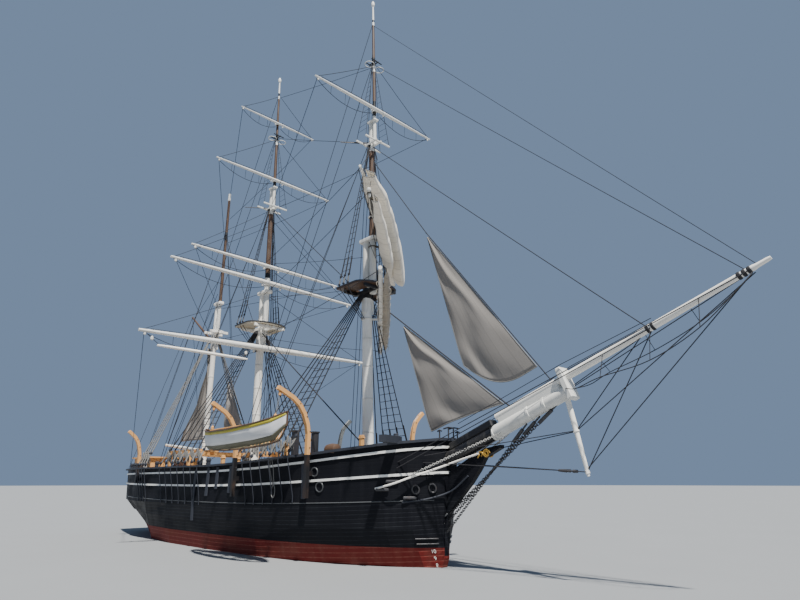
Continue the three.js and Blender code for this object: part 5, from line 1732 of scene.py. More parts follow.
class Sails:
    """The six sails that are loose or brailed up, and the one that is furled."""

    GASKETS = 1.1  # the distance between the gaskets of the furled sail
    BUNT = 0.72  # the part of a topsail's cloth that hangs before the yard
    # By sail: its stay, its corners as in patch, its bulge, its hollow and its folds.
    STAYSAILS = {
        "inner_headsail": ("fore_stay", ((13.1, 11.66), (13.05, 11.6), (14.94, 6.04), (19.32, 7.0)),
                           -0.12, 0.1, 0.04),
        "outer_headsail": ("jib_stay", ((14.93, 16.25), (14.86, 16.25), (17.1, 8.99), (21.15, 8.42)),
                           -0.12, -0.72, 0.04),
        "mizzen_staysail": ("mizzen_stay", ((-5.25, 10.7), (-5.32, 10.7), (-5.35, 7.4), (-2.9, 7.5)),
                            0.06, 0.05, 0.05),
    }
    # Rows of: place along the yard, how far the sail hangs down, how far it bellies forward.
    UPPER_ROWS = ((-5.4, 0.4, 0.6), (-3.4, 0.95, 1.05), (-0.8, 1.3, 1.12), (1.6, 1.5, 1.05), (3.4, 2.4, 1.05),
                  (4.6, 2.85, 0.92), (5.5, 2.0, 0.72))
    LOWER_ROWS = ((-6.2, 0.3, 0.3), (-3.4, 0.8, 0.55), (-0.6, 1.1, 0.65), (1.1, 1.15, 0.6), (1.7, 0.5, 0.32),
                  (6.2, 0.35, 0.28))

    def build(self) -> None:
        """Builds them all."""
        for name, (stay, corners, *form) in self.STAYSAILS.items():
            self.fore_and_aft(name, self.patch(corners, *form), SHIP, stay)
        self.spanker()
        self.hung("fore_upper_topsail", BRIGHT_CANVAS, self.UPPER_ROWS, 0.8)
        self.hung("fore_lower_topsail", BRIGHT_CANVAS, self.LOWER_ROWS, 0.7)
        self.furled_course()

    def hung(self, name: str, finish: Finish, rows: Sequence[Row], inset: float) -> None:
        """A topsail clewed up: its canvas hangs in a bight before the yard and comes up again behind.

        Args:
            name: The sail's node.
            finish: Its canvas.
            rows: Its hang and belly along the yard.
            inset: How much of the solid's belly it fills.
        """
        yard = YARD[f"{name}_yard"]
        low, high = rows[0][0], rows[-1][0]

        def surface(across: float, down: float) -> Vector:
            """The cloth's point at a part of the way along the head and down."""
            along = low + (high - low) * across
            hang, belly = between(rows, along, ease=True)
            fold = smooth_noise(Vector((along * 1.7, down * 2.0, 3.0)))
            pleat = math.sin(along * 3.1 + 2.0 * fold) * 0.022 * min(1.0, 3 * down)
            # The cloth comes down in front, turns at the bunt and goes up behind.
            angle = down * 1.3 * math.pi
            ahead = 0.16 + belly * inset * (0.75 + 0.25 * math.sin(angle)) * min(1.0, down * 4)
            fall = min(down, self.BUNT) / self.BUNT
            up = yard.radius(along) + 0.05 - (hang + 0.1) * math.sin(fall * math.pi / 2)
            if down > self.BUNT:
                turn = (down - self.BUNT) / (1 - self.BUNT)
                ahead -= belly * 0.75 * turn
                up += hang * 0.35 * turn ** 2 + 0.06 * fold
            return yard.point(ahead + pleat, along, up + pleat * 0.4)

        cloth = SailCloth(f"{name}_cloth", name, f"{name}_yard", finish, "light_canvas")
        cloth.sheet(surface, 110, 40, self.girth(surface), "gathered", [f"{name}_yard"])
        self.edge_rope(surface, f"{name}_leech_ropes", f"{name}_yard")

    @staticmethod
    def length(points: Iterable[Vector]) -> float:
        """The length of a run of points."""
        return sum((a - b).length for a, b in pairwise(points))

    @staticmethod
    def girth(surface: Surface) -> tuple[float, float]:
        """The width and the mean length of the cloth that covers a surface."""
        width = Sails.length(surface(a / 40, 0.5) for a in range(41))
        lengths = [Sails.length(surface(a / 10, d / 30) for d in range(31)) for a in range(11)]
        return width, sum(lengths) / len(lengths)

    @staticmethod
    def edge_rope(surface: Surface, name: str, body: str) -> None:
        """The rope sewn round a sail's edge."""
        steps = [i / 24 for i in range(25)]
        runs = [[surface(0, d) for d in steps], [surface(a, 1) for a in steps], [surface(1, d) for d in steps]]
        fitted(Bench.lines(runs, 0.045, 1), name, GREY_ROPE, body)

    @staticmethod
    def patch(corners: Sequence[Row], bulge: float, hollow: float, fold: float) -> Surface:
        """A surface between four corners, which bellies to port.

        Args:
            corners: Head fore, head aft, foot aft and foot fore, each as x and z.
            bulge: How far its middle stands off the middle plane.
            hollow: How far its edges curve inwards.
            fold: The depth of its creases.

        Returns:
            The surface.
        """
        def surface(across: float, down: float) -> Vector:
            """The cloth's point, a part of the way aft and down."""
            (ax, az), (bx, bz), (cx, cz), (dx, dz) = corners
            top = (ax + (bx - ax) * across, az + (bz - az) * across)
            foot = (dx + (cx - dx) * across, dz + (cz - dz) * across)
            x, z = [t + (f - t) * down for t, f in zip(top, foot)]
            swell = math.sin(math.pi * down) * math.sin(math.pi * across)
            z += hollow * math.sin(math.pi * across) * down
            crease = math.sin(9 * across + 4 * down + 3 * smooth_noise(Vector((across * 3, down * 3, 1))))
            y = bulge * swell + fold * crease * min(1, 4 * across * (1 - across) + down)
            return Vector((x, y, z))
        return surface

    def fore_and_aft(self, name: str, surface: Surface, body: str, rests_on: str,
                     grid: tuple[int, int] = (48, 48), held: str = "hung") -> None:
        """A fore-and-aft sail over a surface, with the rope sewn round it.

        Args:
            name: The sail's node.
            surface: Where its cloth lies.
            body: The body that it moves with.
            rests_on: What it hangs from.
            grid: Its faces along the head and down.
            held: How the cloth is held.
        """
        width, length = self.spans(surface)
        # The cloth is the dark canvas, painted shade for a sail whose face is seen in shade.
        cloth = SailCloth(f"{name}_cloth", name, body, PAINTED_SHADE_CANVAS, "shaded_canvas")
        area = min(self.area(surface), width * length)
        cloth.sheet(surface, *grid, (width, length), held, [rests_on], area)
        self.edge_rope(surface, f"{name.removesuffix('_sail')}_bolt_rope", body)

    @staticmethod
    def spans(surface: Surface) -> tuple[float, float]:
        """The greatest width and length of the cloth over a surface."""
        widths = [Sails.length(surface(a / 12, d / 6) for a in range(13)) for d in range(7)]
        lengths = [Sails.length(surface(a / 6, d / 12) for d in range(13)) for a in range(7)]
        return max(widths), max(lengths)

    @staticmethod
    def area(surface: Surface) -> float:
        """The area of a surface."""
        total = 0.0
        for i in range(24):
            for j in range(24):
                a, b, c, d = [surface((i + p) / 24, (j + q) / 24) for p, q in ((0, 0), (1, 0), (1, 1), (0, 1))]
                total += ((b - a).cross(c - a).length + (c - a).cross(d - a).length) / 2
        return total

    def spanker(self) -> None:
        """The spanker, brailed in to the mizzen mast."""
        mast = MIZZEN.at(0, 5.9)

        def surface(across: float, down: float) -> Vector:
            """The cloth's point, a part of the way aft and down."""
            z = 13.75 - 7.0 * down
            luff = mast.x - 0.3 + 0.12 * down
            leech = luff - 0.35 - 5.0 * max(0.0, down - 0.22) ** 1.35
            z += across * (0.35 * down - 0.35 * down * down) * 2
            x = luff + (leech - luff) * across
            gather = math.sin(across * 26 + 3 * down) * 0.16 * (1 - 0.72 * down)
            return Vector((x, gather + 0.05 * math.sin(14 * down + 5 * across), z))

        self.fore_and_aft("spanker_sail", surface, "spanker_boom", "spanker_boom", (90, 60), "gathered")

    def furled_course(self) -> None:
        """The fore course, rolled up along its yard and held by gaskets."""
        yard = YARD["fore_course_yard"]

        def surface(across: float, down: float) -> Vector:
            """The roll's point, a part of the way along the yard and round."""
            along = (across - 0.5) * 2 * yard.half * 0.93
            angle = down * math.tau * 1.04 + 0.4
            closed = min(1.0, (yard.half * 0.93 - abs(along)) / self.GASKETS + 0.03) ** 0.6
            bunt = (0.17 + 0.06 * math.cos(along * 0.35)) * closed
            wave = smooth_noise(Vector((along * 2.2, math.cos(angle), math.sin(angle))))
            gasket = 0.012 * math.exp(-((along % self.GASKETS) - self.GASKETS / 2) ** 2 / 0.01)
            radius = bunt * (1 + 0.22 * wave) - gasket
            ahead = 0.3 + radius * math.cos(angle)
            return yard.point(ahead, along, 0.04 + radius * 1.15 * math.sin(angle) - 0.05)

        # The roll is the dark canvas, painted shade for the furled course in shadow.
        cloth = SailCloth("fore_course_roll", "", "fore_course_yard", PAINTED_SHADE_FURLED_CANVAS, "shaded_canvas")
        cloth.sheet(surface, 130, 22, self.girth(surface), "gathered", ["fore_course_yard"])
        gaskets = []
        for i in range(-6, 7):
            along = (i + 0.5) * self.GASKETS
            gaskets.append([yard.point(0.17 + 0.36 * math.cos(a), along, 0.25 * math.sin(a))
                            for a in round_angles(16)])
        fitted(Bench.lines(gaskets, 0.022, 1, closed=True), "fore_course_gaskets", MANILA, "fore_course_yard")


# The mizzen's boom and gaff


class SpankerGear:
    """The spanker's boom and gaff and the lines that hold them."""

    def spar_run(self, z: float, length: float, rise: float, thick: float) -> tuple[Vector, Vector, float]:
        """Where a spar starts by the mast and where it ends.

        Args:
            z: The height of its jaws.
            length: How far aft it reaches.
            rise: How far it rises.
            thick: Its diameter.

        Returns:
            Its start, its end and its diameter.
        """
        heel = MIZZEN.at(0, z)
        start = -MIZZEN.lower.radius(z) - 0.05
        return heel + Vector((start, 0, 0)), heel + Vector((-length, 0, rise)), thick

    def build(self) -> None:
        """Builds both spars and their lines."""
        boom, gaff = self.spar_run(5.9, 6.75, 0.69, 0.24), self.spar_run(14.2, 4.25, 2.82, 0.18)
        looks = ((boom, "spanker_boom", SPAR_WHITE), (gaff, "spanker_gaff", BROWN_SPAR))
        for (start, end, thick), name, paint in looks:
            taper = [(0, thick * 0.8), (0.4, thick), (0.6, thick), (0.97, thick * 0.62), (0.971, thick * 0.8),
                     (1, thick * 0.75)]
            jaws = [Bench.block(start + Vector((0.12, side.value * 0.2, 0)), (0.62, 0.09, 0.2), bevel=0.03)
                    for side in Side]
            body = Bench.joined([Bench.spar(start, end, taper, 24), *jaws])
            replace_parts(fitted(Bench.soften(body), f"{name}_spar", paint, name), name)
        lifts = [sagging(boom[0].lerp(boom[1], 0.96), MIZZEN.at(-0.2, 16.6, side.value * 0.2), 0.1) for side in Side]
        tarred("topping_lifts", lifts, RUNNING_ROPE, "spanker_boom")
        halyards = [sagging(gaff[0].lerp(gaff[1], part), MIZZEN.at(back, z), 0.02)
                    for part, back, z in ((0.5, -0.15, 18.2), (0.93, -0.12, 19.4))]
        tarred("peak_halyards", halyards, RUNNING_ROPE, "spanker_gaff")
        for side in Side:
            end = (-14.2, side.value * 3.0, 4.7)
            bending_line(f"spanker_vang_{side.word}", "spanker_gaff", gaff[1], end, 0.06, RUNNING_ROPE)
        start = boom[0].lerp(boom[1], 0.9)
        bending_line("spanker_sheet", "spanker_boom", start, (-14.0, 0.0, 4.6), 0.06, RUNNING_ROPE)


@dataclass(frozen=True)
class SlungSpar:
    """The spare white spar that hangs under the main yard's starboard arm."""

    outer: float = -7.3
    inner: float = -1.3
    drop: float = 0.95

    def build(self) -> None:
        """Builds the spar with its slings and blocks, which turn with the yard."""
        yard = YARD["main_course_yard"]
        ends = [yard.point(0, along, -self.drop - 0.02 * along) for along in (self.outer, self.inner)]
        taper = [(0, 0.12), (0.1, 0.17), (0.5, 0.2), (0.9, 0.17), (1, 0.12)]
        fitted(Bench.soften(Bench.spar(*ends, taper, 16)), "slung_spar", WHITE_PAINT, yard.name)
        slings = [[yard.point(0, -8.1, -0.1), ends[0].lerp(ends[1], 0.03)],
                  [yard.point(0, self.inner, -0.15), ends[1].lerp(ends[0], 0.04)]]
        tarred("slung_spar_slings", slings, RUNNING_ROPE, yard.name)
        places = [Matrix.Translation(start.lerp(end, 0.45)) for start, end in slings]
        fitted(Bench.soften(Bench.copies(Tackle.block(0.22), places)), "slung_spar_blocks", SPAR_WHITE, yard.name)


# The hull's dress


def dress(finish: Finish, *nodes: str) -> None:
    """Gives kept solids their finish."""
    for name in nodes:
        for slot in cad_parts[name].material_slots:
            slot.material = finish.material()


@dataclass(frozen=True)
class HullDress:
    """The paint of the hull's solids and the fittings on her sides."""

    hull: HullSide

    def build(self) -> None:
        """Paints the solids and builds the fittings."""
        dress(BOTTOM_PAINT, "hull_bottom")
        dress(BLACK_SIDE, "hull_topsides", "bulwark", "head_knee")
        dress(BLACK_PAINT, "main_rail", "windlass_frame", "windlass_barrel")
        dress(BROWN_SPAR, "fore_top", "steering_wheel")
        dress(CREAM_PAINT, "main_top")
        dress(STRIPE_PAINT, "upper_moulding", "lower_moulding")
        dress(DECK, "main_deck")
        dress(BUFF_PAINT, "after_house", "boat_skids")
        dress(DAVIT_PAINT, *[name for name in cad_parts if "davit" in name])
        dress(GREY_PAINT, "davit_waist_port", "main_hatch")
        dress(TARRED_ROPE, "fore_stay", "jib_stay", "main_stay", "mizzen_stay")
        dress(BRICK, "tryworks")
        dress(WHITE_PAINT, "wheel_stand")
        dress(DARK_RED_PAINT, "house_door_starboard", "house_door_port")
        dress(RUDDER_PAINT, "rudder")
        for side in Side:
            self.wale(side)
            self.chainplates(side)
            self.rubbing_boards(side)
            self.bow_fittings(side)
            self.rail_posts(side)
            self.numerals(side)
        self.stem_band()

    def run(self, low: float, high: float, height: Callable[[float], float], side: Side, out: float) -> list[Vector]:
        """A line along the hull's side.

        Args:
            low: Its after end.
            high: Its forward end.
            height: Its height at a distance forward.
            side: Which side.
            out: How far it stands off the planks.

        Returns:
            Its points.
        """
        steps = 60
        spots = [low + (high - low) * i / steps for i in range(steps + 1)]
        return [self.hull.at(x, height(x), side, out) for x in spots]

    def wale(self, side: Side) -> None:
        """The edge of the wale, a thin moulding painted grey as a painted highlight where it catches the light."""
        edge = self.run(-15.2, 15.7, lambda x: 2.56 + sheer(x, 0.35, 0.1), side, 0.0)
        fitted(Bench.lines([edge], 0.05, 1), f"wale_edge_{side.word}", PAINTED_HIGHLIGHT_GREY)

    def chainplates(self, side: Side) -> None:
        """The irons that hold the lower deadeyes to the side."""
        straps = []
        for aft, forward, count in StandingRigging.CHANNELS.values():
            for i in range(count):
                x = forward + (aft - forward) * i / (count - 1)
                head = self.hull.channel(x, side) + Vector((0, side.value * 0.04, 0.12))
                edge = head - Vector((0, side.value * -0.03, 0.36))
                foot = self.hull.at(x - 0.12, rail_z(x) - 1.85, side, 0.05)
                straps.append([head, edge, foot, foot - Vector((0, 0, 0.3))])
        shape = Bench.lines(straps, 0.06, 0)
        fitted(shape, f"chainplates_{side.word}", BLACK_PAINT)

    def rubbing_boards(self, side: Side) -> None:
        """Upright boards that a boat slides down when it is lowered."""
        boards = []
        rows = ((-0.65, 4.4, 1.5), (0.93, 4.5, 2.9), (1.98, 4.5, 3.3), (3.45, 4.55, 3.1), (9.82, 4.55, 2.9))
        for x, top, foot in rows:
            points = [self.hull.at(x, z, side, 0.03) for z in (top, (top + foot) / 2, foot)]
            for a, b in pairwise(points):
                lean = math.atan2((a.y - b.y), a.z - b.z)
                boards.append(Bench.block((a + b) / 2, (0.3, 0.07, (a - b).length + 0.02), (-lean, 0, 0), 0.015))
        fitted(Bench.joined(boards), f"rubbing_boards_{side.word}", BLACK_PAINT)

    def ring(self, x: float, z: float, side: Side, size: Row, thick: float, out: float = 0.02) -> Shape:
        """An oval ring laid on the hull's side."""
        middle = self.hull.at(x, z, side, out)
        ahead = (self.hull.at(x + 0.2, z, side, out) - middle).normalized()
        up = (self.hull.at(x, z + 0.2, side, out) - middle).normalized()
        return Bench.lines([oval(middle, ahead * size[0], up * size[1], 24)], thick, 2, closed=True)

    def bow_fittings(self, side: Side) -> None:
        """Fairleads, hawse pipes, the rope eye and the anchor's bolsters."""
        leads = [self.ring(10.49, 4.15, side, (0.2, 0.2), 0.07), self.ring(10.81, 3.45, side, (0.22, 0.22), 0.07)]
        fitted(Bench.soften(Bench.joined(leads)), f"fairleads_{side.word}", WORN_IRON)
        pipes = [self.ring(x, z, side, (0.16, 0.19), 0.08) for x, z in ((15.7, 3.42), (15.2, 3.36))]
        bolsters = []
        for x, z in ((15.0, 3.0), (14.4, 3.72), (14.0, 3.35)):
            middle = self.hull.at(x, z, side, 0.05)
            ahead = self.hull.at(x + 0.25, z, side, 0.05) - middle
            bolsters.append(Bench.block(middle, (0.62, 0.09, 0.12), (0, 0, math.atan2(ahead.y, ahead.x)), 0.03))
        fitted(Bench.soften(Bench.joined([*pipes, *bolsters])), f"hawse_{side.word}", BLACK_IRON)
        eye = self.hull.at(7.68, 3.5, side, 0.12)
        loop = oval(eye - Vector((0, 0, 0.28)), (0, 0, 0.3), (0.16, 0, 0), 20)
        tails = [[eye + Vector((d, 0, 0.02)), self.hull.at(7.75 + d * 3, 4.35, side, 0.35),
                  self.hull.channel(7.8 + d, side)] for d in (-0.05, 0.05)]
        fitted(Bench.joined([Bench.lines([loop], 0.05, 1, closed=True), Bench.lines(tails, 0.04, 1)]),
               f"rope_eye_{side.word}", GREY_ROPE)

    def rail_posts(self, side: Side) -> None:
        """Timberheads, boat chocks and stanchions along the rail."""
        groups = {
            "buff_posts": (BUFF_PAINT, ((8.37, 0.24, 0.75), (13.07, 0.2, 0.55), (2.3, 0.22, 0.5), (4.0, 0.2, 0.35))),
            "timberheads": (BLACK_PAINT, ((14.6, 0.2, 0.42), (14.3, 0.18, 0.3),
                                          (-0.4, 0.24, 0.5), (0.6, 0.24, 0.42), (-7.0, 0.22, 0.4), (-12.2, 0.24, 0.4),
                                          (-13.4, 0.24, 0.4))),
        }
        for name, (finish, rows) in groups.items():
            posts = []
            for x, wide, tall in rows:
                z = rail_z(x) + RAIL_THICK
                y = self.hull.at(x, rail_z(x) - 0.05, side).y - side.value * 0.06
                posts.append(Bench.block((x, y, z + tall / 2 - 0.03), (wide, 0.2, tall), bevel=0.03))
                posts.append(Bench.block((x, y, z + tall - 0.16), (wide + 0.06, 0.24, 0.07), bevel=0.02))
            fitted(Bench.joined(posts), f"{name}_{side.word}", finish)
        x, z = 11.33, rail_z(11.33) + RAIL_THICK
        y = self.hull.at(x, z - 0.2, side).y - side.value * 0.25
        rings = [(0, 0.16), (0.06, 0.26), (0.4, 0.3), (0.74, 0.26), (0.8, 0.16)]
        drum = Bench.turned((x - 0.4, y, z + 0.05), (x + 1, y, z + 0.05), rings, 20)
        fitted(Bench.soften(drum), f"rail_roll_{side.word}", BROWN_SPAR)
        irons = []
        for x, y, tall, wide in ((16.05, 0.64, 0.42, 0.26), (16.2, 0.18, 0.55, 0.6)):
            foot = Vector((x, side.value * y, rail_z(x) + 0.05))
            irons += [[foot, foot + Vector((0, 0, tall))],
                      [foot + Vector((-wide / 2, 0, tall - 0.03)), foot + Vector((0, 0, tall + 0.02)),
                       foot + Vector((wide / 2, 0, tall - 0.03))]]
        fitted(Bench.lines(irons, 0.07, 1), f"bow_irons_{side.word}", BLACK_IRON)

    def numerals(self, side: Side) -> None:
        """Draft marks beside the stem."""
        figures = []
        for text, z in (("10", 0.62), ("9", 0.32), ("8", 0.02)):
            Bench.clear()
            bpy.ops.object.text_add()
            figure = bpy.context.object
            figure.data.body = text
            figure.data.size = 0.24
            figure.data.align_x = "CENTER"
            figure.data.extrude = 0.004
            bpy.ops.object.convert(target="MESH")
            figure = bpy.context.object
            spot = self.hull.at(15.42, z + 0.08, side, 0.012)
            ahead = (spot - self.hull.at(15.32, z + 0.08, side, 0.012)).normalized() * -side.value
            up = (self.hull.at(15.42, z + 0.16, side, 0.012) - spot).normalized()
            out = ahead.cross(up)
            turn = Matrix((ahead, up, out)).transposed().to_4x4()
            figure.data.transform(Matrix.Translation(spot - up * 0.08) @ turn)
            figures.append(figure)
        fitted(Bench.joined(figures), f"draft_marks_{side.word}", WHITE_PAINT)

    def stem_band(self) -> None:
        """The iron band that is bolted round the stem over the waterline."""
        straps = []
        for z in (1.02, 1.24):
            starboard, port = [[self.hull.at(x, z, side, 0.03) for x in (15.0, 15.3, 15.6)] for side in Side]
            straps.append([*starboard, *reversed(port)])
        fitted(Bench.lines(straps, 0.07, 0), "stem_band", BLACK_IRON)


# Boats and deck


@dataclass(frozen=True)
class Davit:
    """Where a davit stands, how high and how far out its head is."""

    name: str
    side: int
    x: float
    high: float
    reach: float = 0.95

    def curve(self) -> list[Vector]:
        """Points up its middle, from its foot to its head."""
        low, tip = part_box(f"davit_{self.name}")
        out = max(abs(low.y), abs(tip.y)) / MODEL_SCALE - self.reach - 0.1
        foot = deck_z(self.x) + 0.21
        rows = ((0, 0.05), (0, 0.28), (0.03, 0.58), (0.34, 0.84), (1, 1))
        return smooth([Vector((self.x, self.side * (out + self.reach * part), foot + up * self.high))
                                for part, up in rows], 5)


DAVITS = (Davit("forward_starboard", -1, 10.3, 4.2, 1.9), Davit("forward_port", 1, 9.6, 3.85),
          Davit("waist_starboard", -1, 4.2, 4.18, 1.65), Davit("waist_port", 1, 2.4, 4.1),
          Davit("quarter_starboard", -1, -9.95, 3.5), Davit("quarter_port", 1, -9.95, 3.5))


@dataclass(frozen=True)
class Whaleboat:
    """The double-ended boat on the starboard waist, on its falls."""

    x: float = 7.4
    y: float = -5.9
    z: float = 5.35
    half: float = 3.85
    trim: float = 0.032

    FALLS = ("forward_starboard", "waist_starboard")
    COLUMNS = 48  # how many faces its skin has from end to end
    # Rows of: part of the half length, half the breadth, the rail's height, the keel's rise.
    SECTIONS = ((-1, 0.03, 1.22, 0.62), (-0.82, 0.42, 1.04, 0.12), (-0.5, 0.78, 0.9, 0.02), (0, 0.92, 0.84, 0),
                (0.5, 0.78, 0.92, 0.02), (0.82, 0.42, 1.1, 0.14), (1, 0.03, 1.34, 0.7))
    # Rows of: height from keel to rail, breadth there. Over the rail only the narrow stems go on.
    PROFILE = ((-0.001, 0), (0, 0.3), (0.1, 0.62), (0.28, 0.84), (0.58, 0.96), (1, 1), (1, 0))

    def section(self, part: float) -> Row:
        """Half the breadth, the rail's height and the keel's rise at a part of its half length."""
        return between(self.SECTIONS, part, ease=abs(part) <= 0.5)

    def point(self, part: float, up: float, side: int, out: float = 0.0) -> Vector:
        """A point of the boat's skin.

        Args:
            part: From -1 aft to 1 forward.
            up: From 0 at the keel to 1 at the rail.
            side: Its sign of Y.
            out: How far off the skin.

        Returns:
            The point on the ship.
        """
        breadth, top, rise = self.section(part)
        width = between(self.PROFILE, up)[0]
        height = rise + (top - rise) * up
        x = self.half * part
        return Vector((self.x + x, self.y + side * (breadth * width + out), self.z + height + self.trim * x))

    def strip(self, low: float, high: float, rows: int, out: float, thick: float) -> Shape:
        """A band of the boat's skin, both sides in one, between two heights."""
        shapes = []
        for side in (-1, 1):
            shape = Bench.grid(self.COLUMNS, rows)
            for vertex in shape.data.vertices:
                part = max(-1.0, min(1.0, vertex.co.x * 2))
                up = low + (high - low) * (vertex.co.y + 0.5)
                vertex.co = self.point(part, up, side, out)
            shapes.append(shape)
        shape = Bench.joined(shapes)
        Bench.edit(shape, "SELECT")
        bpy.ops.mesh.remove_doubles(threshold=0.004)
        bpy.ops.mesh.normals_make_consistent(inside=False)
        bpy.ops.object.mode_set(mode="OBJECT")
        return Bench.thickened(Bench.soften(shape, 50), thick)

    def build(self) -> None:
        """Builds the boat, what is in it and its falls."""
        skin = fitted(self.strip(0.18, 0.82, 8, 0.0, 0.04), "whaleboat_side", BOAT_WHITE)
        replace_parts(skin, "whaleboat")
        # The strip from the keel up is painted dark as painted shade under the boat's white side.
        fitted(self.strip(0.0, 0.2, 4, 0.0, 0.045), "whaleboat_bottom", BOAT_PAINTED_SHADE)
        fitted(self.strip(0.8, 0.97, 2, 0.012, 0.045), "whaleboat_sheer_strake", BOAT_YELLOW)
        rails = [[self.point(-1 + 2 * i / 40, 1.0, side, 0.01) for i in range(41)] for side in (-1, 1)]
        stems = [[self.point(sign, up, 1, -0.02) + Vector((sign * 0.03, 0, 0)) for up in (0.0, 0.3, 0.6, 1.0, 1.08)]
                 for sign in (-1, 1)]
        keel = [self.point(-1 + 2 * i / 30, 0.0, 1, 0.0) - Vector((0, 0, 0.03)) for i in range(31)]
        fitted(Bench.lines([*rails, *stems, keel], 0.09, 1), "whaleboat_gunwale", BROWN_SPAR)
        inside = []
        for part in (-0.66, -0.34, -0.02, 0.3, 0.62):
            breadth = self.section(part)[0]
            middle = self.point(part, 1.0, 1)
            inside.append(Bench.block((middle.x, self.y, middle.z - 0.26), (0.24, breadth * 1.86, 0.05), bevel=0.01))
        for i in range(19):
            part = -0.84 + 1.68 * i / 18
            ribs = [[self.point(part, up, side, -0.05) for up in (0.98, 0.6, 0.3, 0.1)] for side in (-1, 1)]
            inside.append(Bench.lines(ribs, 0.045, 0))
        fitted(Bench.joined(inside), "whaleboat_thwarts", BUFF_PAINT)
        taper = [(0, 0.07), (0.7, 0.06), (0.75, 0.12), (1, 0.11)]
        oars = [Bench.spar((self.x - 2.9 + 0.3 * k, self.y - 0.28 + 0.2 * k, self.z + 0.98),
                           (self.x + 2.6 + 0.2 * k, self.y - 0.2 + 0.17 * k, self.z + 1.12), taper, 8)
                for k in range(3)]
        fitted(Bench.soften(Bench.joined(oars)), "whaleboat_oars", BUFF_PAINT)
        self.falls()

    def falls(self) -> None:
        """The tackles from the davits' heads down to the boat."""
        lines, blocks = [], []
        for row in [davit for davit in DAVITS if davit.name in self.FALLS]:
            tip = row.curve()[-1]
            head = tip + Vector((0, 0.08, -0.1))
            hook = Vector((row.x, self.y, self.z + self.trim * (row.x - self.x) + 1.0))
            for d in (-0.03, 0.03):
                lines.append([head + Vector((0, d, -0.2)), hook + Vector((0, d, 0.3))])
            lines.append([hook, hook - Vector((0, 0, 0.85))])
            blocks += [Matrix.Translation(head - Vector((0, 0, 0.2))), Matrix.Translation(hook + Vector((0, 0, 0.25)))]
        fitted(Bench.lines(lines, 0.022, 1), "whaleboat_falls", GREY_ROPE)
        fitted(Bench.soften(Bench.copies(Tackle.block(0.2), blocks)), "whaleboat_fall_blocks", BUFF_PAINT)


